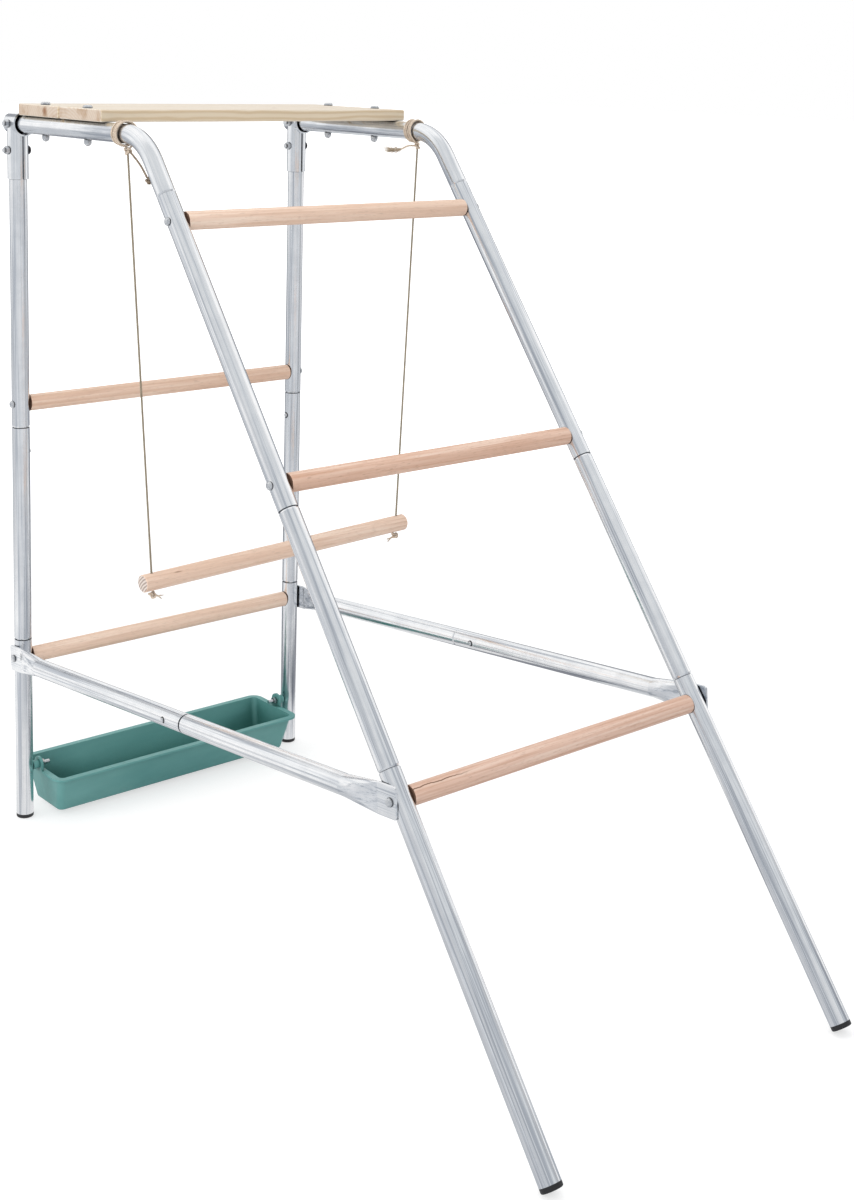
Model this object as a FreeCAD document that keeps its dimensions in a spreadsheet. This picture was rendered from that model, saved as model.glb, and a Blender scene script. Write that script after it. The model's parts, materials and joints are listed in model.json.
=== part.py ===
import FreeCAD, Part
import math
import os
import re
import Sketcher

# Chicken perch: two bent-tube side frames joined by five round perches and a plank roost,
# with side braces, a rope swing and a tilting feed trough.
# Frame: +X to the right-hand side frame, +Y to the rear legs, +Z up, millimetres and degrees.
# The origin is on the floor, under the middle of the part's box.

V = FreeCAD.Vector
ORIGIN = V(0, 0, 0)
ALONG_X = FreeCAD.Rotation(V(0, 1, 0), 90)
AGAINST_X = FreeCAD.Rotation(V(0, 1, 0), -90)
ALONG_Y = FreeCAD.Rotation(V(1, 0, 0), -90)
ALONG_Z = FreeCAD.Rotation()
YZ_PLANE = FreeCAD.Rotation(V(0, 1, 0), V(0, 0, 1), V(1, 0, 0), "XYZ")
SIDES = {"left": -1, "right": 1}

# Driving dimensions
SIZES = {
    # side frames
    "frame_spacing": 482,
    "top_height": 1022,
    "front_reach": 1115,
    "front_slope": 52.5,
    "bend_radius": 80,
    "tube_diameter": 25,
    "tube_wall": 1.2,
    "top_tube_tail": 13,
    "leg_top_gap": 1.5,
    # swaged joints of the tubes
    "swage_length": 58,
    "swage_taper": 3,
    "slide_gap": 0.1,
    "rear_joint_high": 590,
    "rear_joint_low": 274.5,
    "front_joint_drop": 72,
    "front_upper_rise": 339.5,
    "front_middle_rise": 250.5,
    # foot caps
    "cap_thickness": 6,
    "cap_round": 2,
    "cap_plug_length": 16,
    # perches and swing bar
    "perch_diameter": 23.5,
    "perch_chamfer": 0.8,
    "perch_gap": 0.1,
    "front_high_offset": 28.5,
    "front_middle_offset": 25.5,
    "front_low_offset": 26,
    "rear_high_offset": 34.5,
    "rear_low_offset": 27.5,
    # screws in the perch ends
    "screw_diameter": 5,
    "screw_bite": 30,
    "screw_head_diameter": 10.5,
    "screw_head_height": 3.4,
    "screw_head_round": 2.7,
    "pilot_gap": 0.05,
    "pilot_end_gap": 1,
    "hole_gap": 0.25,
    "seat_gap": 0.05,
    # planks
    "plank_width": 109,
    "plank_thickness": 16,
    "plank_gap": 4,
    "plank_setback": 26,
    "plank_overhang": 12.5,
    "plank_round": 2.5,
    "rope_room": 30,
    # bolts and nuts
    "bolt_diameter": 6,
    "bolt_head_diameter": 13,
    "bolt_head_height": 4,
    "bolt_head_round": 3.4,
    "bolt_end": 3,
    "nut_width": 10,
    "nut_height": 5,
    "cap_nut_height": 3.5,
    "cap_nut_dome": 5,
    "cap_nut_bite": 1,
    # clamps at the top of the rear legs
    "clamp_wall": 2,
    "clamp_seam": 3.2,
    "clamp_drop": 77,
    "clamp_bolt_drop": 37,
    "clamp_rear": 16,
    "clamp_mouth": 21,
    "clamp_lip": 2.6,
    "clamp_lip_length": 5,
    # side braces
    "brace_shift": 27,
    "tab_thickness": 2.8,
    "tab_flat": 21,
    "tab_reach": 9.5,
    "tab_corner": 4,
    "tab_taper": 58,
    "tab_middle": 7,
    # snap buttons and their leaf springs
    "button_diameter": 6.4,
    "button_stand": 2,
    "button_round": 1.6,
    "button_gap": 0.3,
    "button_from_joint": 36,
    "leaf_width": 7,
    "leaf_thickness": 0.8,
    "leaf_length": 26,
    "leaf_gap": 0.15,
    "leaf_end": 8,
    # trough
    "trough_end_gap": 9.5,
    "trough_width": 122,
    "trough_end_run": 8,
    "trough_side_run": 17,
    "trough_height": 58,
    "trough_clearance": 9,
    "trough_wall": 2.2,
    "trough_corner": 10,
    "trough_floor_round": 4,
    "rim_width": 7,
    "rim_thickness": 3.2,
    "ear_radius": 11,
    "ear_thickness": 3.4,
    "ear_rise": 8.5,
    "boss_radius": 6.6,
    "stud_diameter": 6,
    "stud_flange": 8,
    "stud_flange_height": 1,
    "stud_reach": 18,
    "pivot_gap": 0.2,
    "running_gap": 0.35,
    # swing and ropes
    "rope_diameter": 3,
    "rope_gap": 0.6,
    "rope_inset": 14.4,
    "tie_past_bend": 2,
    "swing_height": 438.5,
    "swing_lean": 1,
    "swing_tilt": 1.3,
    "swing_yaw": 1.5,
    "knot_radius": 5.2,
    "tail_knot_radius": 4.6,
    "stopper_radius": 5.6,
    "stopper_tail": 20,
    "wrap_pitch": 3.8,
}

# Sizes that follow from the driving ones
DERIVED = {
    "tube_radius": "tube_diameter / 2",
    "tube_bore": "tube_radius - tube_wall",
    "spigot_radius": "tube_bore - slide_gap",
    "spigot_bore": "spigot_radius - tube_wall",
    "side_x": "frame_spacing / 2",
    "cap_flat": "tube_radius - cap_round",
    "cap_axis_height": "cap_flat * cos(front_slope) + cap_round * (1 - sin(front_slope))",
    "toe_reach": "front_reach - cap_axis_height / tan(front_slope)"
                 " + cap_round * (1 - cos(front_slope)) + cap_flat * sin(front_slope)",
    "rear_y": "(toe_reach - trough_width / 2) / 2",
    "front_joint_high": "top_height - front_joint_drop",
    "front_joint_middle": "front_joint_high - front_upper_rise",
    "front_joint_low": "front_joint_middle - front_middle_rise",
    "front_perch_high": "front_joint_high - front_high_offset",
    "front_perch_middle": "front_joint_middle + front_middle_offset",
    "front_perch_low": "front_joint_low - front_low_offset",
    "rear_perch_high": "rear_joint_high + rear_high_offset",
    "rear_perch_low": "rear_joint_low - rear_low_offset",
    "perch_length": "frame_spacing - tube_diameter - 2 * perch_gap",
    "plank_bottom": "top_height + tube_radius + seat_gap",
    "plank_step": "plank_width + plank_gap",
    "leg_top": "top_height - tube_radius - leg_top_gap",
    "clamp_bolt_height": "top_height - clamp_bolt_drop",
    "clamp_bore": "tube_radius + seat_gap",
    "clamp_radius": "clamp_bore + clamp_wall",
    "bend_tangent": "bend_radius * tan(front_slope / 2)",
    "bend_y": "rear_y - front_reach + top_height / tan(front_slope)",
    "top_run": "rear_y - bend_y - bend_tangent",
    "brace_x": "side_x + tube_radius + seat_gap + tab_thickness / 2",
    "brace_rise": "front_perch_low - rear_perch_low",
    "brace_run": "front_reach - front_perch_low / tan(front_slope)",
    "brace_angle": "atan(brace_rise / brace_run) / 1 deg",
    "brace_length": "sqrt(brace_rise ^ 2 + brace_run ^ 2)",
    "socket_length": "brace_length / 2 + brace_shift",
    "plug_length": "brace_length / 2 - brace_shift",
    "leaf_face": "sqrt((spigot_bore - leaf_gap) ^ 2 - (leaf_width / 2) ^ 2)",
    "button_height": "rear_joint_high - button_from_joint",
    "trough_length": "frame_spacing - tube_diameter - 2 * trough_end_gap",
    "trough_mouth_length": "trough_length - 2 * rim_width",
    "trough_mouth_width": "trough_width - 2 * rim_width",
    "trough_rim": "trough_clearance + trough_height",
    "pivot_height": "trough_rim + ear_rise",
    "stud_seat": "sqrt(tube_bore ^ 2 - (stud_flange / 2) ^ 2) - seat_gap",
    "stud_length": "stud_reach + side_x - stud_seat - trough_length / 2",
    "tie_y": "rear_y - top_run - tie_past_bend",
    "tie_height": "top_height - tube_radius - rope_gap - rope_diameter - knot_radius",
    "swing_y": "tie_y - (tie_height - swing_height) * tan(swing_lean)",
}
# Full turns of a rope winding before the turn that drops to the knot
WRAP_COUNT = 3
# Routes of the free rope ends, as offsets from the knots' centres
TAIL_ROUTES = {
    "left": [(-0.3, -5.6, -0.6), (-0.6, -15, -5.5), (-0.4, -26, -12.5), (0.4, -35, -20), (2, -43, -31)],
    "right": [(-4.4, 3.2, 0.3), (-10.4, 7.8, 0.9), (-17, 12.6, -4.2), (-24.5, 18, -7.2), (-34.4, 25.6, -6)],
}
# Share of the shorter run that an arc of a rope end takes
TANGENT_SHARE = 0.45
# Fall of the stopper knots' free ends for each unit of run
STUB_DROP = 0.4
# Below this a bend counts as straight, or two heights as the same
STRAIGHT = 1e-9
TOUCH = 1e-6
NAME = re.compile(r"[a-z]+(?:_[a-z]+)*")

doc = FreeCAD.newDocument("chicken_perch")
sheet = doc.addObject("Spreadsheet::Sheet", "sizes")
for row, (alias, size) in enumerate(SIZES.items(), start=1):
    sheet.set(f"A{row}", alias)
    sheet.set(f"B{row}", str(size))
    sheet.setAlias(f"B{row}", alias)
doc.recompute()

NODES = {}


def formula(text):
    """Spell a formula out in the sheet's cells."""
    def spell(match):
        word = match.group()
        if word in DERIVED:
            return f"({formula(DERIVED[word])})"
        return f"sizes.{word}" if word in SIZES else word
    return NAME.sub(spell, str(text))


def number(text):
    """The value of a formula, for shapes that are made directly."""
    return float(sheet.evalExpression(formula(text)))


def bind(thing, **properties):
    """Tie properties of an object to formulas."""
    for key, text in properties.items():
        thing.setExpression(key, formula(text))
    return thing


def place(thing, x, y, z, rotation=ALONG_Z):
    """Put an object's own origin at a point given by formulas."""
    thing.Placement = FreeCAD.Placement(ORIGIN, rotation)
    for axis, text in zip("xyz", (x, y, z)):
        thing.setExpression(f"Placement.Base.{axis}", formula(text))
    return thing


def lean(thing, angle):
    """Turn an object about the X axis by an angle given as a formula."""
    rotation = FreeCAD.Rotation(V(1, 0, 0), number(angle))
    thing.Placement = FreeCAD.Placement(thing.Placement.Base, rotation)
    thing.setExpression("Placement.Rotation.Angle", formula(angle))
    return thing


def node(name, thing):
    """Register a finished sub-part under its own label."""
    thing.Label = name
    NODES[name] = thing
    return thing


def side_x(sign, extra="0"):
    """X of a side frame's axis plane, moved outwards by extra."""
    return f"{sign} * (side_x + ({extra}))"


def inward(side):
    """Rotation from Z to the X direction that points into the part from a side."""
    return AGAINST_X if SIDES[side] > 0 else ALONG_X


def outward(side):
    """Rotation from Z to the X direction that points away from the part on a side."""
    return ALONG_X if SIDES[side] > 0 else AGAINST_X


def front_y(height):
    """Y of the front legs' axis at a height."""
    return f"rear_y - front_reach + ({height}) / tan(front_slope)"


def plank_count():
    """Planks that the straight run of the top tubes carries, with room left for the ropes."""
    return max(1, int(number("(top_run - rope_room - plank_setback + plank_gap) / plank_step")))


def plank_y(k):
    """Y of a plank's middle, counted from the rear."""
    return f"rear_y - plank_setback - plank_width / 2 - {k} * plank_step"


# Building blocks

def revolved(name, outline):
    """A body turned about its own Z axis from an outline of (radius, height) formulas."""
    body = doc.addObject("PartDesign::Body", name)
    sketch = body.newObject("Sketcher::SketchObject", f"{name}_outline")
    plane = next(f for f in body.Origin.OriginFeatures if f.Role == "XZ_Plane")
    sketch.AttachmentSupport = (plane, [""])
    sketch.MapMode = "FlatFace"
    points = [V(number(r), number(z), 0) for r, z in outline]
    count = len(points)
    for k in range(count):
        sketch.addGeometry(Part.LineSegment(points[k], points[(k + 1) % count]), False)
    for k in range(count):
        sketch.addConstraint(Sketcher.Constraint("Coincident", k, 2, (k + 1) % count, 1))
    for k, pair in enumerate(outline):
        for kind, text, start in zip(("DistanceX", "DistanceY"), pair, (points[k].x, points[k].y)):
            index = sketch.addConstraint(Sketcher.Constraint(kind, -1, 1, k, 1, start))
            sketch.setExpression(f"Constraints[{index}]", formula(text))
    turn = body.newObject("PartDesign::Revolution", f"{name}_turn")
    turn.Profile = sketch
    turn.ReferenceAxis = (sketch, ["V_Axis"])
    turn.Angle = 360
    doc.recompute()
    return body


def rounded(body, height, radius):
    """Round the outermost circular edge of a turned body at a height."""
    level = number(height)
    solid = body.Tip
    rims = [
        (edge.Curve.Radius, f"Edge{k}")
        for k, edge in enumerate(solid.Shape.Edges, start=1)
        if isinstance(edge.Curve, Part.Circle) and abs(edge.Curve.Center.z - level) < TOUCH
    ]
    fillet = body.newObject("PartDesign::Fillet", f"{body.Name}_round")
    fillet.Base = (solid, [max(rims)[1]])
    bind(fillet, Radius=radius)
    doc.recompute()
    return body


def rod(name, diameter, length, x, y, z, rotation=ALONG_Z):
    """A plain cylinder that starts at a point and runs along its rotated Z axis."""
    cylinder = doc.addObject("Part::Cylinder", name)
    bind(cylinder, Radius=f"({diameter}) / 2", Height=length)
    return place(cylinder, x, y, z, rotation)


def cut(name, base, tools):
    """Take tools away from a base."""
    tool = tools[0]
    if len(tools) > 1:
        tool = doc.addObject("Part::MultiFuse", f"{name}_tools")
        tool.Shapes = tools
    result = doc.addObject("Part::Cut", f"{name}_cut")
    result.Base = base
    result.Tool = tool
    return result


def fused(name, things):
    """Join overlapping or touching solids into one."""
    result = doc.addObject("Part::MultiFuse", f"{name}_joined")
    result.Shapes = things
    result.Refine = True
    return result


def group(name, things):
    """A node of separate, identical solids."""
    result = doc.addObject("Part::Compound", f"{name}_group")
    result.Links = things
    return node(name, result)


def across(name, diameter, x, y, z):
    """A drill along X through both walls of a tube whose axis passes through the point."""
    return rod(name, diameter, "2 * tube_diameter", f"{x} - tube_diameter", y, z, ALONG_X)


# Tubes

def tube_outline(length, low_spigot, high_spigot):
    """Outline of a tube with swaged spigots beyond its ends; length is between the joint lines."""
    low_outer = [("spigot_radius", "-swage_length"), ("spigot_radius", "0"), ("tube_radius", "swage_taper")]
    low_inner = [("tube_bore", "swage_taper"), ("spigot_bore", "0"), ("spigot_bore", "-swage_length")]
    high_outer = [("tube_radius", f"{length} - swage_taper"), ("spigot_radius", length),
                  ("spigot_radius", f"{length} + swage_length")]
    high_inner = [("spigot_bore", f"{length} + swage_length"), ("spigot_bore", length),
                  ("tube_bore", f"{length} - swage_taper")]
    outline = low_outer if low_spigot else [("tube_radius", "0")]
    outline = outline + (high_outer if high_spigot else [("tube_radius", length)])
    outline = outline + (high_inner if high_spigot else [("tube_bore", length)])
    return outline + (low_inner if low_spigot else [("tube_bore", "0")])


def rear_tube(side, part, low, high, low_spigot, drills):
    """One tube of a rear leg, between two heights."""
    name = f"{side}_rear_{part}_tube"
    body = revolved(f"{name}_body", tube_outline(f"({high}) - ({low})", low_spigot, False))
    place(body, side_x(SIDES[side]), "rear_y", low)
    node(name, cut(name, body, drills) if drills else body)


def front_tube(side, part, low, high, low_spigot, high_spigot, drills):
    """One tube of a front leg, between the heights of its joint lines."""
    name = f"{side}_front_{part}_tube"
    length = f"(({high}) - ({low})) / sin(front_slope)"
    body = revolved(f"{name}_body", tube_outline(length, low_spigot, high_spigot))
    place(body, side_x(SIDES[side]), front_y(low), low)
    lean(body, "front_slope - 90")
    node(name, cut(name, body, drills))


def top_tube_path(name, sign):
    """Centre line of a top tube: along the roost, round the bend and down to the first joint."""
    path = doc.addObject("Sketcher::SketchObject", name)
    place(path, side_x(sign), "0", "0", YZ_PLANE)
    end_height = "front_joint_high + swage_taper * sin(front_slope)"
    stops = [
        ("rear_y + top_tube_tail", "top_height"),
        ("bend_y + bend_tangent", "top_height"),
        ("bend_y - bend_tangent * cos(front_slope)", "top_height - bend_tangent * sin(front_slope)"),
        (front_y(end_height), end_height),
    ]
    points = [V(number(y), number(z), 0) for y, z in stops]
    radius = number("bend_radius")
    circle = Part.Circle(points[1] - V(0, radius, 0), V(0, 0, 1), radius)
    turn = math.radians(number("front_slope"))
    path.addGeometry(Part.LineSegment(points[0], points[1]), False)
    path.addGeometry(Part.ArcOfCircle(circle, math.pi / 2, math.pi / 2 + turn), False)
    path.addGeometry(Part.LineSegment(points[2], points[3]), False)
    path.addConstraint(Sketcher.Constraint("Coincident", 0, 2, 1, 1))
    path.addConstraint(Sketcher.Constraint("Coincident", 1, 2, 2, 1))
    for k, (edge, end) in enumerate(((0, 1), (0, 2), (2, 1), (2, 2))):
        starts = (points[k].x, points[k].y)
        for kind, text, start in zip(("DistanceX", "DistanceY"), stops[k], starts):
            index = path.addConstraint(Sketcher.Constraint(kind, -1, 1, edge, end, start))
            path.setExpression(f"Constraints[{index}]", formula(text))
    index = path.addConstraint(Sketcher.Constraint("Radius", 1, radius))
    path.setExpression(f"Constraints[{index}]", formula("bend_radius"))
    doc.recompute()
    return path


def top_tube(side, drills):
    """The bent tube under the roost, with a swaged spigot at its lower end."""
    sign = SIDES[side]
    name = f"{side}_top_tube"
    path = top_tube_path(f"{name}_path", sign)
    skins = []
    for skin, radius in (("outside", "tube_radius"), ("bore", "tube_bore")):
        circle = doc.addObject("Part::Circle", f"{name}_{skin}_circle")
        bind(circle, Radius=radius)
        place(circle, side_x(sign), "rear_y + top_tube_tail", "top_height", ALONG_Y)
        sweep = doc.addObject("Part::Sweep", f"{name}_{skin}")
        sweep.Sections = [circle]
        sweep.Spine = (path, ["Edge1", "Edge2", "Edge3"])
        sweep.Solid = True
        sweep.Frenet = False
        skins.append(sweep)
    pipe = cut(f"{name}_pipe", skins[0], skins[1:])
    spigot = revolved(f"{name}_spigot", [
        ("spigot_radius", "-swage_length"), ("spigot_radius", "0"), ("tube_radius", "swage_taper"),
        ("tube_bore", "swage_taper"), ("spigot_bore", "0"), ("spigot_bore", "-swage_length"),
    ])
    place(spigot, side_x(sign), front_y("front_joint_high"), "front_joint_high")
    lean(spigot, "front_slope - 90")
    node(name, cut(name, fused(name, [pipe, spigot]), drills))


def side_frame(side):
    """The seven tubes of one side frame."""
    sign = SIDES[side]
    screw_hole = "screw_diameter + 2 * hole_gap"
    bolt_hole = "bolt_diameter + 2 * hole_gap"

    def screw_drill(name, height, y):
        return across(f"{side}_{name}_drill", screw_hole, side_x(sign), y, height)

    def front_drill(name, height):
        return screw_drill(name, height, front_y(height))

    def rear_drill(name, height):
        return screw_drill(name, height, "rear_y")

    def button_drill(name):
        return rod(f"{side}_{name}_drill", "button_diameter + 2 * button_gap", "tube_diameter",
                   side_x(sign), "rear_y", "button_height", inward(side))

    clamp_drills = [
        across(f"{side}_clamp_drill_{k}", bolt_hole, side_x(sign), "rear_y", height)
        for k, height in enumerate(("clamp_bolt_height", "top_height"))
    ]
    plank_drills = [
        rod(f"{side}_plank_drill_{k}", bolt_hole, "2 * tube_diameter",
            side_x(sign), plank_y(k), "top_height - tube_diameter")
        for k in range(plank_count())
    ]
    stud_drill = rod(f"{side}_stud_drill", "stud_diameter + 2 * hole_gap", "tube_diameter",
                     side_x(sign), "rear_y", "pivot_height", inward(side))
    foot = "cap_axis_height + cap_thickness * sin(front_slope)"
    top_tube(side, [front_drill("top_spigot", "front_perch_high"), clamp_drills[1]] + plank_drills)
    front_tube(side, "upper", "front_joint_middle", "front_joint_high", False, False, [
        front_drill("upper_high", "front_perch_high"), front_drill("upper_low", "front_perch_middle"),
    ])
    front_tube(side, "middle", "front_joint_low", "front_joint_middle", True, True, [
        front_drill("middle_high", "front_perch_middle"), front_drill("middle_low", "front_perch_low"),
    ])
    front_tube(side, "lower", foot, "front_joint_low", False, False, [
        front_drill("lower", "front_perch_low"),
    ])
    rear_tube(side, "upper", "rear_joint_high", "leg_top", True, [
        clamp_drills[0], rear_drill("rear_upper", "rear_perch_high"), button_drill("upper_button"),
    ])
    rear_tube(side, "middle", "rear_joint_low", "rear_joint_high", True, [
        rear_drill("rear_middle", "rear_perch_low"), button_drill("middle_button"),
    ])
    rear_tube(side, "lower", "cap_thickness", "rear_joint_low", False, [
        rear_drill("rear_lower", "rear_perch_low"), stud_drill,
    ])


def foot_cap(name):
    """A plastic end cap: a flange as wide as the tube and a plug in its bore."""
    plug = "tube_bore - slide_gap"
    cap = revolved(name, [
        ("0", "0"), ("tube_radius", "0"), ("tube_radius", "cap_thickness"), (plug, "cap_thickness"),
        (plug, "cap_thickness + cap_plug_length"), ("0", "cap_thickness + cap_plug_length"),
    ])
    return rounded(cap, "0", "cap_round")


def foot_caps():
    """Rear caps stand flat, front caps stand on their rounded heels."""
    rear = []
    front = []
    for side, sign in SIDES.items():
        rear.append(place(foot_cap(f"{side}_rear_cap"), side_x(sign), "rear_y", "0"))
        cap = foot_cap(f"{side}_front_cap")
        place(cap, side_x(sign), front_y("cap_axis_height"), "cap_axis_height")
        front.append(lean(cap, "front_slope - 90"))
    group("rear_foot_caps", rear)
    group("front_foot_caps", front)


# Braces

def brace_section(at, half, inset):
    """Section of a tube pressed to a half thickness, its girth unchanged, drawn in by an inset."""
    flat = math.pi / 2 * (number("tube_radius") - half)
    depth = half - inset
    is_round = flat < STRAIGHT
    x, y = (depth * math.sqrt(0.5), depth * math.sqrt(0.5)) if is_round else (depth, flat)
    corners = [V(x, -y, at), V(x, y, at), V(-x, y, at), V(-x, -y, at)]
    tops = [V(depth, 0, at), V(0, flat + depth, at), V(-depth, 0, at), V(0, -flat - depth, at)]
    edges = []
    for k, (first, last) in enumerate(zip(corners, corners[1:] + corners[:1])):
        is_line = k % 2 == 0 and not is_round
        curve = Part.LineSegment(first, last) if is_line else Part.Arc(first, tops[k], last)
        edges.append(curve.toShape())
    return Part.Wire(edges)


def flattened_skin(inset):
    """Solid inside a skin of the flattened end, from the tab to the round tube; inset is 0 or the wall."""
    start = number("tab_flat")
    end = number("tab_flat + tab_taper")
    stations = (
        (start, number("tab_thickness / 2")),
        ((start + end) / 2, number("tab_middle")),
        (end, number("tube_radius")),
    )
    return Part.makeLoft([brace_section(at, half, inset) for at, half in stations], True, False)


def drilled_tab():
    """The flat end of a brace round its screw hole, from its square, eased tip to the press taper."""
    radius = number("tube_radius")
    flat = number("tab_thickness / 2")
    reach = number("tab_reach")
    length = reach + number("tab_flat")
    half_width = math.pi / 2 * (radius - flat) + flat
    blank = Part.Face(brace_section(-reach, flat, 0)).extrude(V(0, 0, length))
    plate = Part.makeBox(2 * radius, 2 * half_width, length, V(-radius, -half_width, -reach))
    corners = [edge for edge in plate.Edges if edge.BoundBox.YLength + edge.BoundBox.ZLength < TOUCH]
    tip = [edge for edge in corners if edge.BoundBox.ZMax < 0]
    return blank.common(plate.makeFillet(number("tab_corner"), tip))


def plug_end(length):
    """The swaged plug of a brace tube, from its taper on."""
    radius = number("tube_radius")
    bore = number("tube_bore")
    spigot = number("spigot_radius")
    inner = number("spigot_bore")
    stop = length - number("swage_taper")
    tail = length + number("swage_length")
    ring = [V(radius, 0, stop), V(spigot, 0, length), V(spigot, 0, tail), V(inner, 0, tail),
            V(inner, 0, length), V(bore, 0, stop)]
    return Part.Face(Part.makePolygon(ring + ring[:1])).revolve(ORIGIN, V(0, 0, 1), 360)


def brace_half(length, plug):
    """A brace tube along Z from its screw: flat tab, press taper, round tube, and a plug if asked."""
    radius = number("tube_radius")
    end = number("tab_flat + tab_taper")
    stop = length - (number("swage_taper") if plug else 0)
    pipe = [Part.makeCylinder(skin, stop - end, V(0, 0, end)) for skin in (radius, number("tube_bore"))]
    outside = drilled_tab().multiFuse([flattened_skin(0), pipe[0]])
    tube = outside.cut(flattened_skin(number("tube_wall")).fuse(pipe[1]))
    if plug:
        tube = tube.fuse(plug_end(length))
    bore = number("screw_diameter / 2 + hole_gap")
    hole = Part.makeCylinder(bore, 4 * radius, V(-2 * radius, 0, 0), V(1, 0, 0))
    return tube.cut(hole).removeSplitter()


def brace(side, socket_end):
    """The two tubes of one side brace; the socket tube is at the end that is named."""
    ends = {
        "rear": ("rear_y", "rear_perch_low", "90 - brace_angle"),
        "front": (front_y("front_perch_low"), "front_perch_low", "-90 - brace_angle"),
    }
    button = number("socket_length - button_from_joint")
    bore = number("button_diameter / 2 + button_gap")
    for end, (y, z, angle) in ends.items():
        is_socket = end == socket_end
        shape = brace_half(number("socket_length" if is_socket else "plug_length"), not is_socket)
        along = button if is_socket else number("brace_length") - button
        hole = Part.makeCylinder(bore, number("tube_diameter"), V(0, 0, along), V(-1, 0, 0))
        feature = doc.addObject("Part::Feature", f"{side}_brace_{end}_solid")
        feature.Shape = shape.cut(hole)
        place(feature, f"{SIDES[side]} * brace_x", y, z)
        node(f"{side}_brace_{end}", lean(feature, angle))


# Wood

def dowel(name, length, pilots):
    """A round perch along its own Z axis, with screw pilots in its ends if asked."""
    radius = "perch_diameter / 2"
    shoulder = f"{radius} - perch_chamfer"
    skin = [
        (shoulder, "0"), (radius, "perch_chamfer"),
        (radius, f"{length} - perch_chamfer"), (shoulder, length),
    ]
    if not pilots:
        return revolved(name, [("0", "0")] + skin + [("0", length)])
    pilot = "screw_diameter / 2 + pilot_gap"
    depth = "screw_bite + pilot_end_gap"
    return revolved(name, [(pilot, "0")] + skin + [
        (pilot, length), (pilot, f"{length} - ({depth})"), ("0", f"{length} - ({depth})"),
        ("0", depth), (pilot, depth),
    ])


def perches():
    """Five perches that butt against the inner sides of the tubes."""
    rungs = {
        "front_high_perch": (front_y("front_perch_high"), "front_perch_high"),
        "front_middle_perch": (front_y("front_perch_middle"), "front_perch_middle"),
        "front_low_perch": (front_y("front_perch_low"), "front_perch_low"),
        "rear_high_perch": ("rear_y", "rear_perch_high"),
        "rear_low_perch": ("rear_y", "rear_perch_low"),
    }
    for name, (y, z) in rungs.items():
        body = dowel(f"{name}_body", "perch_length", True)
        node(name, place(body, "-perch_length / 2", y, z, ALONG_X))


def planks():
    """Planks across the top tubes, bolted down through them, counted from the rear."""
    length = "frame_spacing + 2 * plank_overhang"
    for k in range(plank_count()):
        name = f"roost_plank_{k + 1}"
        board = doc.addObject("Part::Box", f"{name}_board")
        bind(board, Length=length, Width="plank_width", Height="plank_thickness")
        place(board, f"-({length}) / 2", f"{plank_y(k)} - plank_width / 2", "plank_bottom")
        doc.recompute()
        eased = doc.addObject("Part::Fillet", f"{name}_eased")
        eased.Base = board
        ease = number("plank_round")
        eased.Edges = [(edge, ease, ease) for edge in range(1, len(board.Shape.Edges) + 1)]
        drills = [
            rod(f"{name}_drill_{side}", "bolt_diameter + 2 * hole_gap", "3 * plank_thickness",
                side_x(sign), plank_y(k), "plank_bottom - plank_thickness")
            for side, sign in SIDES.items()
        ]
        node(name, cut(name, eased, drills))


# Screws, bolts and nuts

def pin(name, diameter, length, head_diameter, head_height, head_round):
    """A screw or bolt along Z: head above zero, shank below."""
    shank = f"({diameter}) / 2"
    head = f"({head_diameter}) / 2"
    body = revolved(name, [
        ("0", f"-({length})"), (shank, f"-({length})"), (shank, "0"), (head, "0"), (head, head_height),
        ("0", head_height),
    ])
    return rounded(body, head_height, head_round)


def screw(name, length):
    """A pan-head screw."""
    head = ("screw_head_diameter", "screw_head_height", "screw_head_round")
    return pin(name, "screw_diameter", length, *head)


def bolt(name, length):
    """A dome-head bolt."""
    head = ("bolt_head_diameter", "bolt_head_height", "bolt_head_round")
    return pin(name, "bolt_diameter", length, *head)


def hexagon(name, height, x, y, z, rotation):
    """The block of a nut, which starts at a point and runs along its rotated Z axis."""
    block = doc.addObject("Part::Prism", f"{name}_block")
    block.Polygon = 6
    bind(block, Circumradius="nut_width / sqrt(3)", Height=height)
    return place(block, x, y, z, rotation)


def nut(name, x, y, z, rotation, thread):
    """A plain hexagon nut on a thread."""
    bore = rod(f"{name}_bore", f"{thread} + 2 * pilot_gap", "nut_height", x, y, z, rotation)
    return cut(name, hexagon(name, "nut_height", x, y, z, rotation), [bore])


def cap_nut(name, x, y, top):
    """A domed nut that hangs below a height."""
    low = f"{top} - cap_nut_height"
    depth = "cap_nut_height + cap_nut_bite + pilot_end_gap"
    dome = doc.addObject("Part::Sphere", f"{name}_dome")
    dome.Angle2 = 0
    bind(dome, Radius="cap_nut_dome")
    place(dome, x, y, low)
    block = fused(name, [hexagon(name, "cap_nut_height", x, y, low, ALONG_Z), dome])
    bore = rod(f"{name}_bore", "bolt_diameter + 2 * pilot_gap", depth, x, y, f"{top} - ({depth})")
    return cut(name, block, [bore])


def perch_screws():
    """Short screws at three rungs, long ones where a brace shares the screw."""
    short = []
    long = []
    rungs = (
        ("front_high", front_y("front_perch_high"), "front_perch_high", False),
        ("front_middle", front_y("front_perch_middle"), "front_perch_middle", False),
        ("rear_high", "rear_y", "rear_perch_high", False),
        ("front_low", front_y("front_perch_low"), "front_perch_low", True),
        ("rear_low", "rear_y", "rear_perch_low", True),
    )
    for rung, y, z, shared in rungs:
        stack = "tab_thickness + 2 * seat_gap" if shared else "seat_gap"
        length = f"{stack} + tube_diameter + perch_gap + screw_bite"
        for side, sign in SIDES.items():
            body = screw(f"{side}_{rung}_screw", length)
            place(body, side_x(sign, f"tube_radius + {stack}"), y, z, outward(side))
            (long if shared else short).append(body)
    group("perch_screws", short)
    group("brace_screws", long)


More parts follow.
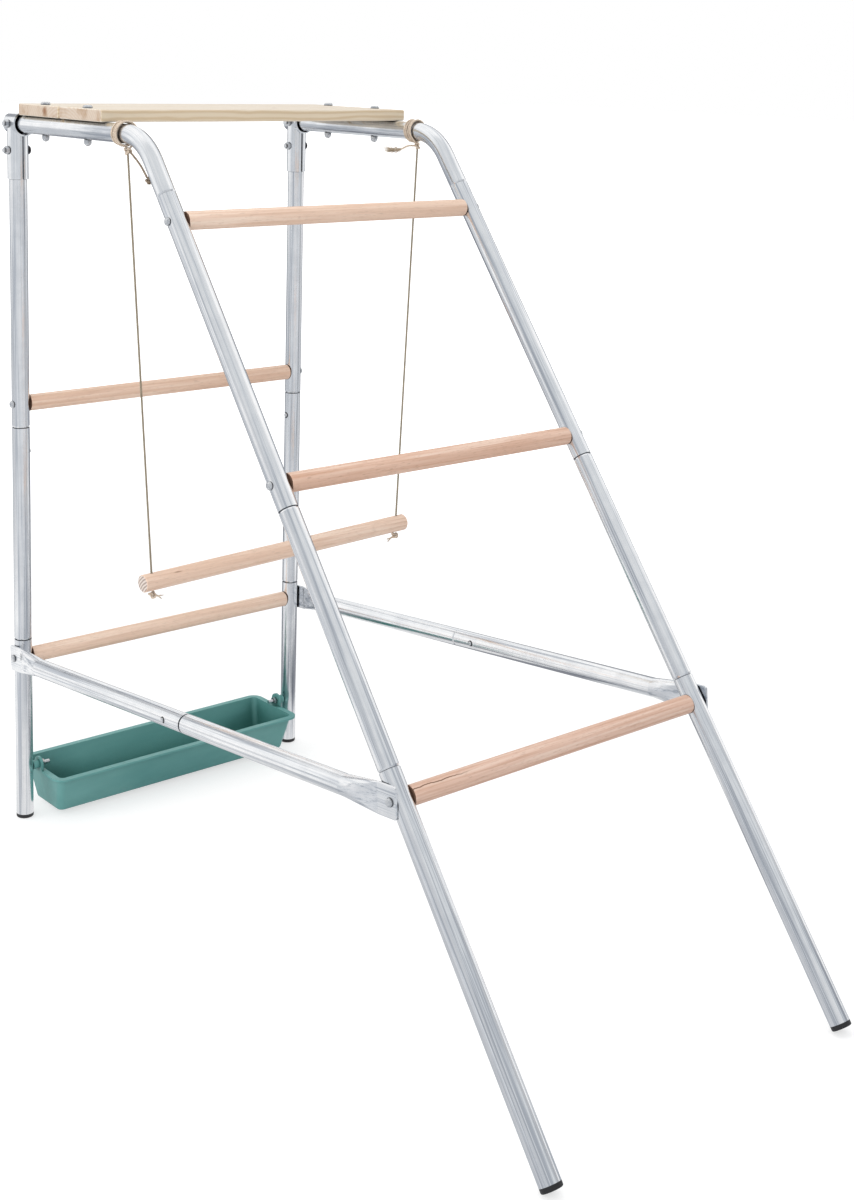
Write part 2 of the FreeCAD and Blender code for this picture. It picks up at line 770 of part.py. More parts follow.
def plank_bolts():
    """Bolts down through planks and top tubes, with domed nuts under the tubes."""
    bolts = []
    nuts = []
    length = "plank_thickness + tube_diameter + 3 * seat_gap + cap_nut_height + cap_nut_bite"
    head = "plank_bottom + plank_thickness + seat_gap"
    under = "top_height - tube_radius - seat_gap"
    for side, sign in SIDES.items():
        for k in range(plank_count()):
            name = f"{side}_plank_{k + 1}"
            body = bolt(f"{name}_bolt", length)
            bolts.append(place(body, side_x(sign), plank_y(k), head))
            nuts.append(cap_nut(f"{name}_nut", side_x(sign), plank_y(k), under))
    group("plank_bolts", bolts)
    group("plank_nuts", nuts)


def clamp_bolts():
    """Two bolts along X through each clamp, heads on the right and nuts on the left."""
    bolts = []
    nuts = []
    reach = "clamp_radius + seat_gap"
    length = f"2 * ({reach}) + nut_height + bolt_end"
    for side, sign in SIDES.items():
        for level, height in (("low", "clamp_bolt_height"), ("high", "top_height")):
            name = f"{side}_{level}_clamp"
            body = bolt(f"{name}_bolt", length)
            bolts.append(place(body, f"{sign} * side_x + {reach}", "rear_y", height, ALONG_X))
            seat = f"{sign} * side_x - ({reach})"
            nuts.append(nut(f"{name}_nut", seat, "rear_y", height, AGAINST_X, "bolt_diameter"))
    group("clamp_bolts", bolts)
    group("clamp_nuts", nuts)


# Clamps

def clamp(side):
    """Two pressed half shells round the top of a rear leg and the end of its top tube."""
    sign = SIDES[side]
    x = side_x(sign)
    name = f"{side}_clamp"
    low = "top_height - clamp_drop"
    rear = "rear_y + clamp_rear"
    mouth = "rear_y - clamp_mouth"
    against_y = FreeCAD.Rotation(V(1, 0, 0), 90)

    def tee(skin, radius, overshoot):
        post = rod(f"{name}_{skin}_post", f"2 * ({radius})", f"clamp_drop + {overshoot}",
                   x, "rear_y", f"{low} - {overshoot}")
        arm = rod(f"{name}_{skin}_arm", f"2 * ({radius})", f"clamp_rear + clamp_mouth + 2 * {overshoot}",
                  x, f"{rear} + {overshoot}", "top_height", against_y)
        lip = doc.addObject("Part::Cone", f"{name}_{skin}_lip")
        bind(lip, Radius1=radius, Radius2=f"{radius} + clamp_lip", Height="clamp_lip_length")
        place(lip, x, f"{mouth} + clamp_lip_length", "top_height", against_y)
        return [post, arm, lip]

    outside = fused(f"{name}_outside", tee("outside", "clamp_radius", "0"))
    shell = cut(f"{name}_shell", outside, [fused(f"{name}_bore", tee("bore", "clamp_bore", "clamp_wall"))])
    for half, direction in (("outer", sign), ("inner", -sign)):
        room = doc.addObject("Part::Box", f"{name}_{half}_room")
        bind(room, Length="tube_diameter", Width="4 * tube_diameter", Height="2 * clamp_drop")
        edge = "clamp_seam / 2" if direction > 0 else "-clamp_seam / 2 - tube_diameter"
        place(room, f"{x} + {edge}", "rear_y - 2 * tube_diameter", f"{low} - clamp_drop / 4")
        piece = doc.addObject("Part::Common", f"{name}_{half}_half")
        piece.Base = shell
        piece.Tool = room
        drills = [
            across(f"{name}_{half}_drill_{k}", "bolt_diameter + 2 * hole_gap", x, "rear_y", height)
            for k, height in enumerate(("clamp_bolt_height", "top_height"))
        ]
        node(f"{name}_{half}", cut(f"{name}_{half}", piece, drills))


# Snap buttons

def snap_button(name, x, y, z, rotation):
    """A domed button along its rotated Z axis, on its leaf spring; the point is on the tube's axis."""
    foot = "leaf_face + seat_gap"
    top = "tube_radius + button_stand"
    radius = "button_diameter / 2"
    body = revolved(f"{name}_body", [("0", foot), (radius, foot), (radius, top), ("0", top)])
    rounded(body, top, "button_round")
    node(name, place(body, x, y, z, rotation))


def leaf_spring(name):
    """A strip bent to a U in the XZ plane: its button stands at the origin, its bend points along +Z."""
    def block(part, half_span, width):
        legs = doc.addObject("Part::Box", f"{name}_{part}_legs")
        bind(legs, Length=f"2 * ({half_span})", Width=width, Height="leaf_length")
        place(legs, f"-({half_span})", f"-({width}) / 2", "-leaf_end")
        bend = rod(f"{name}_{part}_bend", f"2 * ({half_span})", width, "0", f"-({width}) / 2",
                   "leaf_length - leaf_end", ALONG_Y)
        return fused(f"{name}_{part}", [legs, bend])

    solid = block("outside", "leaf_face", "leaf_width")
    return cut(name, solid, [block("inside", "leaf_face - leaf_thickness", "2 * leaf_width")])


def snap_buttons():
    """One button and spring in each rear leg and each brace."""
    springs = []
    for side, sign in SIDES.items():
        snap_button(f"{side}_leg_button", side_x(sign), "rear_y", "button_height", inward(side))
        springs.append(place(leaf_spring(f"{side}_leg_leaf"), side_x(sign), "rear_y", "button_height"))
    along = "(socket_length - button_from_joint)"
    run = f"{along} * brace_run / brace_length"
    rise = f"{along} * brace_rise / brace_length"
    front = front_y("front_perch_low")
    spots = {
        "left": (f"rear_y - {run}", f"rear_perch_low + {rise}", "90 - brace_angle"),
        "right": (f"{front} + {run}", f"front_perch_low - {rise}", "-90 - brace_angle"),
    }
    for side, (y, z, angle) in spots.items():
        x = f"{SIDES[side]} * brace_x"
        snap_button(f"{side}_brace_button", x, y, z, AGAINST_X)
        spring = place(leaf_spring(f"{side}_brace_leaf"), x, y, z)
        springs.append(lean(spring, angle))
    group("snap_springs", springs)


# Trough

def rounded_rectangle(length, width, corner, height):
    """Wire of a rectangle with round corners, centred on the Z axis."""
    x = length / 2 - corner
    y = width / 2 - corner
    quarter = math.pi / 2
    arcs = []
    for k, (sx, sy) in enumerate(((1, 1), (-1, 1), (-1, -1), (1, -1))):
        circle = Part.Circle(V(sx * x, sy * y, height), V(0, 0, 1), corner)
        arcs.append(Part.ArcOfCircle(circle, k * quarter, (k + 1) * quarter))
    edges = []
    for arc, following in zip(arcs, arcs[1:] + arcs[:1]):
        edges += [arc.toShape(), Part.LineSegment(arc.EndPoint, following.StartPoint).toShape()]
    return Part.Wire(edges)


def tub(inset, floor, top):
    """Solid of the trough's flared shape, drawn in by a wall, from a floor height to a top height."""
    height = number("trough_height")
    corner = number("trough_corner") - inset
    wires = []
    for level in (floor, top):
        below = (1 - level / height) * 2
        length = number("trough_mouth_length") - below * number("trough_end_run") - 2 * inset
        width = number("trough_mouth_width") - below * number("trough_side_run") - 2 * inset
        wires.append(rounded_rectangle(length, width, corner, level))
    solid = Part.makeLoft(wires, True, True)
    rim = [edge for edge in solid.Edges if all(abs(v.Z - floor) < TOUCH for v in edge.Vertexes)]
    return solid.makeFillet(number("trough_floor_round") - inset, rim)


def ear(sign):
    """A round ear with its web on one end of the trough, and the boss that spaces it from the leg."""
    height = number("trough_height")
    rise = number("ear_rise")
    rim = number("rim_thickness")
    thick = number("ear_thickness")
    radius = number("ear_radius")
    gap = number("trough_end_gap - running_gap")
    face = sign * number("trough_length / 2")
    axis = V(-sign, 0, 0)
    pivot = V(face, 0, height + rise)
    corner = V(min(face, face - sign * thick), -radius, height - rim)
    web = Part.makeBox(thick, 2 * radius, rise + rim, corner)
    boss = Part.makeCylinder(number("boss_radius"), gap + thick, pivot + V(sign * gap, 0, 0), axis)
    return [Part.makeCylinder(radius, thick, pivot, axis), web, boss]


def trough():
    """A flared tub with a turned-out rim and a round, drilled ear on each end."""
    wall = number("trough_wall")
    height = number("trough_height")
    length = number("trough_length")
    rim = number("rim_thickness")
    corner = number("trough_corner + rim_width")
    edge = rounded_rectangle(length, number("trough_width"), corner, height - rim)
    flange = Part.Face(edge).extrude(V(0, 0, rim))
    solid = tub(0, 0, height).multiFuse([flange] + ear(-1) + ear(1)).cut(tub(wall, wall, height))
    bore = number("stud_diameter / 2 + pivot_gap")
    pivot = V(-length, 0, height + number("ear_rise"))
    feature = doc.addObject("Part::Feature", "trough_solid")
    feature.Shape = solid.cut(Part.makeCylinder(bore, 2 * length, pivot, V(1, 0, 0))).removeSplitter()
    node("trough", place(feature, "0", "rear_y", "trough_clearance"))


def trough_studs():
    """A stud in each rear leg's inner wall, through the trough's ear, with a nut inside the ear."""
    studs = []
    nuts = []
    shank = "stud_diameter / 2"
    flange = "stud_flange / 2"
    for side, sign in SIDES.items():
        stud = revolved(f"{side}_stud", [
            ("0", "-stud_flange_height"), (flange, "-stud_flange_height"), (flange, "0"), (shank, "0"),
            (shank, "stud_length"), ("0", "stud_length"),
        ])
        studs.append(place(stud, f"{sign} * (side_x - stud_seat)", "rear_y", "pivot_height", inward(side)))
        seat = f"{sign} * (trough_length / 2 - ear_thickness - running_gap)"
        nuts.append(nut(f"{side}_stud_nut", seat, "rear_y", "pivot_height", inward(side), "stud_diameter"))
    group("trough_studs", studs)
    group("trough_nuts", nuts)


# Swing and ropes

def arc_edge(start, tangent, end):
    """Edge from a point, leaving along a tangent, to another point: an arc, or a line where straight."""
    chord = end - start
    along = V(chord)
    along.normalize()
    bow = tangent - along * tangent.dot(along)
    if bow.Length < STRAIGHT:
        return Part.LineSegment(start, end).toShape()
    angle = math.atan2(bow.Length, tangent.dot(along))
    bow.normalize()
    middle = (start + end) * 0.5 + bow * (chord.Length / 2 * math.tan(angle / 2))
    return Part.Arc(start, middle, end).toShape()


def biarc(start, leave, end, arrive):
    """Two tangent arcs between two points with given directions."""
    gap = end - start
    half = gap.dot(leave + arrive)
    square = 2 * (1 - leave.dot(arrive))
    if square < STRAIGHT:
        reach = gap.dot(gap) / (2 * half)
    else:
        reach = (-half + math.sqrt(half * half + square * gap.dot(gap))) / square
    joint = (start + end + (leave - arrive) * reach) * 0.5
    return [arc_edge(start, leave, joint), arc_edge(end, arrive * -1, joint)]


def pipe_along(edges, diameter, start, heading):
    """A round solid along joined edges, and its centre line."""
    spine = Part.Wire(Part.__sortEdges__(edges))
    ring = Part.Wire(Part.Circle(start, heading, diameter / 2).toShape())
    solid = spine.makePipeShell([ring], True, False)
    fill = solid.Volume / (spine.Length * math.pi * diameter ** 2 / 4)
    return spine, solid, fill


def least_gap(spine, diameter, turn_length):
    """Least gap between stretches of a winding that are more than half a turn apart."""
    points = spine.discretize(Distance=diameter / 4)
    apart = int(turn_length / 2 / spine.Length * len(points))
    nearest = min(
        (points[j] - points[i]).Length
        for i in range(len(points)) for j in range(i + apart, len(points))
    )
    return nearest - diameter


def solid_node(name, shape):
    """Register a directly made shape."""
    feature = doc.addObject("Part::Feature", f"{name}_solid")
    feature.Shape = shape
    node(name, feature)


def knot_centre(side):
    """Middle of the knot under a top tube, on the swing's pivot line."""
    return V(number(side_x(SIDES[side])), number("tie_y"), number("tie_height"))


def winding(side):
    """Rope turns round a top tube, the last of which drops to the knot."""
    sign = SIDES[side]
    diameter = number("rope_diameter")
    radius = number("tube_radius + rope_gap") + diameter / 2
    advance = number("wrap_pitch") / (2 * math.pi)
    axis = V(number(side_x(sign)), number("tie_y"), number("top_height"))
    drop = axis.z - number("tie_height")
    quarter = math.pi / 2
    leave_angle = 4 * quarter * (WRAP_COUNT + 1) - math.acos(radius / drop)

    def station(angle):
        sine = math.sin(angle)
        cosine = math.cos(angle)
        point = axis + V(sign * radius * sine, (leave_angle - angle) * advance, -radius * cosine)
        heading = V(sign * radius * cosine, -advance, radius * sine)
        heading.normalize()
        return point, heading

    stations = [station(quarter * k) for k in range(4 * WRAP_COUNT + 4)] + [station(leave_angle)]
    start, leave = stations[0]
    end, arrive = stations[-1]
    tail = start - leave * diameter
    run = math.sqrt(drop ** 2 - radius ** 2) - number("knot_radius + seat_gap")
    edges = [Part.LineSegment(tail, start).toShape()]
    for (first, out), (last, into) in zip(stations, stations[1:]):
        edges += biarc(first, out, last, into)
    edges.append(Part.LineSegment(end, end + arrive * run).toShape())
    spine, solid, fill = pipe_along(edges, diameter, tail, leave)
    gap = least_gap(spine, diameter, 2 * math.pi * radius)
    print(f"{side} rope winding: length {spine.Length:.0f}, least gap to itself {gap:.2f}, fill {fill:.4f}")
    solid_node(f"{side}_rope_wrap", solid)


def rope_tail(side):
    """The short free end that leaves a knot, along a hand-chosen route."""
    diameter = number("rope_diameter")
    points = [knot_centre(side) + V(*offset) for offset in TAIL_ROUTES[side]]
    edges = []
    radii = []
    at = points[0]
    for before, corner, after in zip(points, points[1:], points[2:]):
        into = corner - before
        out = after - corner
        half_turn = into.getAngle(out) / 2
        cut_back = TANGENT_SHARE * min(into.Length, out.Length)
        radii.append(cut_back / math.tan(half_turn))
        into.normalize()
        out.normalize()
        begin = corner - into * cut_back
        edges.append(Part.LineSegment(at, begin).toShape())
        at = corner + out * cut_back
        edges.append(arc_edge(begin, into, at))
    edges.append(Part.LineSegment(at, points[-1]).toShape())
    heading = points[1] - points[0]
    spine, solid, fill = pipe_along(edges, diameter, points[0], heading)
    print(f"{side} rope tail: length {spine.Length:.0f}, radii", [round(radius) for radius in radii],
          f"fill {fill:.4f}")
    solid_node(f"{side}_rope_tail", solid)
    return points[-1], out


def knot(name, centre, radius):
    """A knot as a ball."""
    ball = doc.addObject("Part::Sphere", f"{name}_ball")
    bind(ball, Radius=radius)
    ball.Placement = FreeCAD.Placement(centre, ALONG_X)
    return node(name, ball)


def rope_knots():
    """The knots under the top tubes, and the one that ends the left tail."""
    for side in SIDES:
        knot(f"{side}_rope_knot", knot_centre(side), "knot_radius")
    end, heading = rope_tail("left")
    knot("left_tail_knot", end + heading * number("tail_knot_radius + seat_gap"), "tail_knot_radius")
    rope_tail("right")


def stopper(side, centre):
    """The knot under the swing's bar, with its free end pointing inwards."""
    away = V(-SIDES[side], 0, -STUB_DROP)
    away.normalize()
    ball = Part.makeSphere(number("stopper_radius"), centre, away)
    stub = Part.makeCylinder(number("rope_diameter / 2"), number("stopper_tail"), centre, away)
    solid_node(f"{side}_stopper_knot", ball.fuse(stub))


def swing():
    """The swing's bar on two taut ropes with stopper knots under it."""
    rope = number("rope_diameter / 2")
    slack = number("running_gap")
    bar_radius = number("perch_diameter / 2")
    middle = V(0, number("swing_y"), number("swing_height"))
    flat = "perch_length / 2 * cos(swing_tilt)"
    half = V(number(f"{flat} * cos(swing_yaw)"), number(f"{flat} * sin(swing_yaw)"),
             number("perch_length / 2 * sin(swing_tilt)"))
    bar = dowel("swing_bar_body", "perch_length", False)
    place(bar, f"-{flat} * cos(swing_yaw)", f"swing_y - {flat} * sin(swing_yaw)",
          "swing_height - perch_length / 2 * sin(swing_tilt)", FreeCAD.Rotation(V(0, 0, 1), half))
    drills = []
    for side, sign in SIDES.items():
        top = knot_centre(side)
        hole = middle + half * (sign * number("1 - 2 * rope_inset / perch_length"))
        down = hole - top
        begin = number("knot_radius") + slack
        stop = down.Length + bar_radius + slack
        down.normalize()
        name = f"{side}_swing_rope"
        solid_node(name, Part.makeCylinder(rope, stop - begin, top + down * begin, down))
        print(f"{name}: length {stop - begin:.0f}")
        drill = doc.addObject("Part::Feature", f"{name}_drill")
        drill.Shape = Part.makeCylinder(rope + slack, 4 * bar_radius, hole - down * 2 * bar_radius, down)
        drills.append(drill)
        stopper(side, top + down * (stop + number("seat_gap + stopper_radius")))
    node("swing_bar", cut("swing_bar", bar, drills))


doc.recompute()
for side_name in SIDES:
    side_frame(side_name)
    clamp(side_name)
foot_caps()
perches()
planks()
perch_screws()
plank_bolts()
clamp_bolts()
brace("left", "rear")
brace("right", "front")
snap_buttons()
trough()
trough_studs()
for side_name in SIDES:
    winding(side_name)
rope_knots()
swing()

doc.recompute()
failed = [thing.Name for thing in doc.Objects if {"Invalid", "Error"} & set(thing.State)]
assert not failed, f"failed objects: {failed}"
for label, thing in NODES.items():
    assert not thing.Shape.isNull() and thing.Shape.isValid(), f"bad shape: {label}"
    assert thing.Shape.Solids, f"no solid: {label}"

os.makedirs("parts", exist_ok=True)
for label, thing in NODES.items():
    thing.Shape.exportStep(f"parts/{label}.step")
print(len(NODES), "nodes")
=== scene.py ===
"""The chicken perch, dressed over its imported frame: camera, materials, springs, ropes and light."""

import json
import math
import random

import bpy
from mathutils import Matrix, Vector


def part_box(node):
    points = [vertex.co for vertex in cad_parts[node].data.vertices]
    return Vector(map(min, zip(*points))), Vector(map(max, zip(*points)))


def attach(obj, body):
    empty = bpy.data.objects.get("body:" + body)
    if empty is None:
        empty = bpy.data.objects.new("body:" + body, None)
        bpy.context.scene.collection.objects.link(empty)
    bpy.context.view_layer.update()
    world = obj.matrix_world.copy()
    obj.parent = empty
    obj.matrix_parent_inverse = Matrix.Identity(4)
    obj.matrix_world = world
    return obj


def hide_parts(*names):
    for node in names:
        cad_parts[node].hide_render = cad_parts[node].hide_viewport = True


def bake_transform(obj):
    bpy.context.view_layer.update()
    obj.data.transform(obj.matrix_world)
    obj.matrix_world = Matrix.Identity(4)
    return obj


MILLIMETRE = 0.001
FULL_TURN = 2 * math.pi
FRAME_X = 0.241
SIDES = {"left": -1, "right": 1}

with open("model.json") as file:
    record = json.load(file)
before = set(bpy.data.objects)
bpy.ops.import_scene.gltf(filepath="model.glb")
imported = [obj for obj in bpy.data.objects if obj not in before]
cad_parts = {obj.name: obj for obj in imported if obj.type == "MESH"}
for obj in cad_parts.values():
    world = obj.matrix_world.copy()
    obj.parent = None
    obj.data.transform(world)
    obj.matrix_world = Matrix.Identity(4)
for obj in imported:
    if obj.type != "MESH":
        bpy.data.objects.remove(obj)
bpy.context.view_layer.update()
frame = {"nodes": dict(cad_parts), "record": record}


# Scene helpers
def node_box(node):
    """A node's lowest corner, its highest corner and its centre."""
    low, high = (Vector(corner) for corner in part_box(node))
    return low, high, (low + high) / 2


def add_object(name, data):
    """An object with this data, linked to the scene."""
    made = bpy.data.objects.new(name, data)
    bpy.context.scene.collection.objects.link(made)
    return made


def ring_faces(base, sides):
    """The faces between a ring of points and the ring after it."""
    faces = []
    for corner in range(sides):
        after = (corner + 1) % sides
        faces.append((base + corner, base + after, base + sides + after, base + sides + corner))
    return faces


# Camera: the photograph's own view, measured in its pixels, with the camera's place in metres
IMAGE_WIDTH = 854
IMAGE_HEIGHT = 1200
FOCAL_PIXELS = 1731.7
AXIS_PIXEL_X = 409.7
AXIS_PIXEL_Y = 344.0
SENSOR_WIDTH = 36.0
CAMERA_PLACE = (-1.3911, -1.676355, 1.1268)
CAMERA_AZIMUTH = math.radians(-40.4)
CAMERA_ELEVATION = math.radians(9.4)
CAMERA_ROLL = math.radians(1.5)


def look_direction():
    """The way the camera faces."""
    level = math.cos(CAMERA_ELEVATION)
    across = -math.sin(CAMERA_AZIMUTH) * level
    along = math.cos(CAMERA_AZIMUTH) * level
    return Vector((across, along, -math.sin(CAMERA_ELEVATION)))


def add_camera():
    """The camera, with the shift that the photograph's framing needs."""
    data = bpy.data.cameras.new("camera")
    data.sensor_width = SENSOR_WIDTH
    data.lens = FOCAL_PIXELS * SENSOR_WIDTH / IMAGE_HEIGHT
    data.shift_x = (IMAGE_WIDTH / 2 - AXIS_PIXEL_X) / IMAGE_HEIGHT
    data.shift_y = (AXIS_PIXEL_Y - IMAGE_HEIGHT / 2) / IMAGE_HEIGHT
    forward = look_direction()
    right = forward.cross(Vector((0, 0, 1))).normalized()
    up = right.cross(forward)
    rolled_right = right * math.cos(CAMERA_ROLL) + up * math.sin(CAMERA_ROLL)
    rolled_up = up * math.cos(CAMERA_ROLL) - right * math.sin(CAMERA_ROLL)
    turn = Matrix((rolled_right, rolled_up, -forward)).transposed().to_4x4()
    camera = add_object("camera", data)
    camera.matrix_world = Matrix.Translation(CAMERA_PLACE) @ turn
    bpy.context.scene.camera = camera


# Shader helpers
class Graph:
    """Adds nodes to one node tree and links them."""

    def __init__(self, tree):
        self.tree = tree

    def add(self, kind, inputs=(), **settings):
        """A node with these settings, whose inputs are linked or set."""
        made = self.tree.nodes.new(kind)
        for name, value in settings.items():
            setattr(made, name, value)
        for name, value in dict(inputs).items():
            self.put(made.inputs[name], value)
        return made

    def put(self, socket, value):
        """Links a socket to another, or sets its value."""
        if isinstance(value, bpy.types.NodeSocket):
            self.tree.links.new(value, socket)
        else:
            socket.default_value = value

    def coordinates(self, kind="Object"):
        """Texture coordinates of one kind."""
        return self.add("ShaderNodeTexCoord").outputs[kind]

    def scaled(self, vector, scale, place=(0, 0, 0)):
        """A vector scaled on each axis and then moved."""
        inputs = {"Vector": vector, "Scale": scale, "Location": place}
        return self.add("ShaderNodeMapping", inputs).outputs["Vector"]

    def noise(self, vector, scale, detail=3.0, roughness=0.55):
        """Noise with this many features to one unit of the vector."""
        inputs = {"Vector": vector, "Scale": scale, "Detail": detail, "Roughness": roughness}
        return self.add("ShaderNodeTexNoise", inputs).outputs["Fac"]

    def streaks(self, vector, scale, detail=3.0, roughness=0.55, place=(0, 0, 0)):
        """Noise with a scale of its own on each axis."""
        return self.noise(self.scaled(vector, scale, place), 1.0, detail, roughness)

    def math(self, operation, first, second=0.0, third=0.0):
        """The result of an operation on numbers."""
        made = self.add("ShaderNodeMath", operation=operation)
        for socket, value in zip(made.inputs, (first, second, third)):
            self.put(socket, value)
        return made.outputs[0]

    def vector(self, operation, *vectors):
        """The number that an operation on vectors gives."""
        made = self.add("ShaderNodeVectorMath", enumerate(vectors), operation=operation)
        return made.outputs["Value"]

    def spread(self, value, low, high, to_low=0.0, to_high=1.0):
        """A value taken smoothly from one range to another."""
        inputs = {"Value": value, "From Min": low, "From Max": high}
        inputs["To Min"] = to_low
        inputs["To Max"] = to_high
        made = self.add("ShaderNodeMapRange", inputs, interpolation_type="SMOOTHSTEP")
        return made.outputs["Result"]

    def mix(self, factor, first, second, blend="MIX"):
        """Two colours blended by a factor."""
        made = self.add("ShaderNodeMix", data_type="RGBA", blend_type=blend)
        self.put(made.inputs["Factor"], factor)
        colours = [socket for socket in made.inputs if socket.type == "RGBA"]
        for socket, value in zip(colours, (first, second)):
            self.put(socket, value)
        return next(socket for socket in made.outputs if socket.type == "RGBA")

    def ramp(self, factor, stops):
        """A colour by a factor; stops are pairs of a place and a colour."""
        made = self.add("ShaderNodeValToRGB", {"Fac": factor})
        elements = made.color_ramp.elements
        while len(elements) < len(stops):
            elements.new(0.5)
        for element, (place, tone) in zip(elements, stops):
            element.position = place
            element.color = tone
        return made.outputs["Color"]

    def bump(self, height, depth, strength):
        """A normal that is bent by a height, which counts for this depth in metres."""
        inputs = {"Height": height, "Distance": depth, "Strength": strength}
        return self.add("ShaderNodeBump", inputs).outputs["Normal"]

    def parts(self, vector):
        """The three numbers of a vector."""
        made = self.add("ShaderNodeSeparateXYZ", {"Vector": vector})
        return made.outputs["X"], made.outputs["Y"], made.outputs["Z"]


def colour(red, green, blue):
    """An opaque colour."""
    return (red, green, blue, 1.0)


WHITE = colour(1, 1, 1)
BLACK = colour(0, 0, 0)
NOISE_RANGE = (0.3, 0.7)
FALLING = (1.0, 0.0)
OCCLUSION_SAMPLES = 8


def new_material(name, metallic=0.0, specular=0.5):
    """A material, its graph and its surface shader, with constant inputs set."""
    made = bpy.data.materials.new(name)
    made.use_nodes = True
    graph = Graph(made.node_tree)
    surface = made.node_tree.nodes["Principled BSDF"]
    surface.inputs["Metallic"].default_value = metallic
    surface.inputs["Specular IOR Level"].default_value = specular
    return made, graph, surface


def dress(graph, surface, tone, roughness, normal):
    """Links a surface's colour, roughness and bent normal."""
    graph.put(surface.inputs["Base Color"], tone)
    graph.put(surface.inputs["Roughness"], roughness)
    graph.put(surface.inputs["Normal"], normal)


def crevices(graph, reach, low, high, alone=False):
    """One in the open, zero deep in a joint, a seam or a contact line, where shade is painted; alone
    leaves other pieces out.
    """
    settings = {"samples": OCCLUSION_SAMPLES, "only_local": alone}
    made = graph.add("ShaderNodeAmbientOcclusion", {"Distance": reach}, **settings)
    return graph.spread(made.outputs["AO"], low, high)


# Steel
BUTTON_FACES = {
    "left_leg_button": 1,
    "right_leg_button": -1,
    "left_brace_button": -1,
    "right_brace_button": -1,
}
# Painted shade round each snap button's hole: the ring's inner and outer edges, and its colour
BUTTON_RING_IN = (2.97 * MILLIMETRE, 3.3 * MILLIMETRE)
BUTTON_RING_OUT = (4.7 * MILLIMETRE, 5.64 * MILLIMETRE)
BUTTON_RIM_PAINTED_SHADE = colour(0.05, 0.05, 0.055)
TUBE_ACROSS = {"rear": (0, 1, 0), "front": (0, 0.793, -0.609), "brace": (0, 0.1008, 0.9949)}
FINE_RUN = 4
BROAD_RUN = 3
BENT_FINE_RUN = (4, 5)
BENT_BROAD_RUN = (3, 4)
CLOUD_RANGE = (0.35, 0.7)
# Occlusion range over which shade is painted into the steel's joints
PAINTED_SHADE_RANGE = (0.40, 0.80)
ZINC_LINES = (520, 150)
ZINC_TONES = (
    (0.40, colour(0.52, 0.55, 0.60)),
    (0.48, colour(0.87, 0.89, 0.91)),
    (0.57, colour(0.98, 0.98, 0.985)),
)
ZINC_CLOUDS = 38.0
ZINC_CLOUDED = 0.22
ZINC_CLOUD = colour(0.64, 0.67, 0.72)
# Painted shade in a tube's joints and contact lines: its colour and reach
ZINC_PAINTED_SHADE = colour(0.10, 0.105, 0.12)
ZINC_PAINTED_SHADE_REACH = 2.8 * MILLIMETRE
ZINC_ROUGHNESS = (0.17, 0.27)
ZINC_BUMP = (0.1 * MILLIMETRE, 0.35)
SHEET_LINES = (420, 130)
SHEET_DARK_AT = 0.40
SHEET_TONES = ((0.50, colour(0.86, 0.88, 0.90)), (0.59, colour(0.97, 0.975, 0.98)))
SHEET_BLOTCHES = 70.0
SHEET_BLOTCH = colour(0.66, 0.69, 0.73)
# Painted shade in the sheet's joints: its colour and reach
SHEET_PAINTED_SHADE = colour(0.06, 0.065, 0.075)
SHEET_PAINTED_SHADE_REACH = 3.5 * MILLIMETRE
SHEET_GRAIN = 900.0
SHEET_BUMP = (0.05 * MILLIMETRE, 0.4)
BRACE_SHEET = {"dark": colour(0.58, 0.61, 0.65), "blotched": 0.25, "roughness": (0.2, 0.34)}
CLAMP_SHEET = {"dark": colour(0.82, 0.84, 0.87), "blotched": 0.08, "roughness": (0.12, 0.2)}
FASTENER_WEAR = 420.0
FASTENER_PLACES = (0.35, 0.65)
# Painted shade in a fastener's crevices: its colour, reach and occlusion range
FASTENER_PAINTED_SHADE = colour(0.05, 0.05, 0.055)
FASTENER_PAINTED_SHADE_REACH = 8 * MILLIMETRE
FASTENER_PAINTED_SHADE_RANGE = (0.4, 0.95)
FASTENER_BUMP = (0.05 * MILLIMETRE, 0.3)
FASTENER_TONES = (colour(0.55, 0.57, 0.60), colour(0.80, 0.81, 0.82))
FASTENER_ROUGHNESS = (0.2, 0.36)
BOLT_BRIGHT = (colour(0.55, 0.57, 0.60), colour(0.84, 0.85, 0.86))
# Painted shade: the dark tones of the clamp bolts' domed heads
BOLT_HEAD_PAINTED_SHADE = (colour(0.04, 0.04, 0.045), colour(0.11, 0.11, 0.12))
# Painted shade in a clamp bolt's crevices: its colour, reach and occlusion range
BOLT_PAINTED_SHADE = colour(0.04, 0.04, 0.045)
BOLT_PAINTED_SHADE_REACH = 5 * MILLIMETRE
BOLT_PAINTED_SHADE_RANGE = (0.35, 0.95)
BOLT_ROUGHNESS = (0.25, 0.4)


def drawn_lines(graph, point, fine, broad, across=None):
    """Lines left along a tube by drawing it, fine ones over broad ones.

    A straight tube is given a direction across it; a bent one keeps lines that vary mostly along X.
    """
    place = point
    fine_scale = (fine, *BENT_FINE_RUN)
    broad_scale = (broad, *BENT_BROAD_RUN)
    if across:
        along = Vector((1, 0, 0)).cross(Vector(across))
        inputs = {"X": graph.parts(point)[0]}
        inputs["Y"] = graph.vector("DOT_PRODUCT", point, across)
        inputs["Z"] = graph.vector("DOT_PRODUCT", point, along)
        place = graph.add("ShaderNodeCombineXYZ", inputs).outputs["Vector"]
        fine_scale = (fine, fine, FINE_RUN)
        broad_scale = (broad, broad, BROAD_RUN)
    lines = graph.streaks(place, fine_scale, detail=4.0, roughness=0.7)
    bands = graph.streaks(place, broad_scale, detail=2.0)
    return graph.math("MULTIPLY_ADD", lines, 0.5, graph.math("MULTIPLY", bands, 0.5))


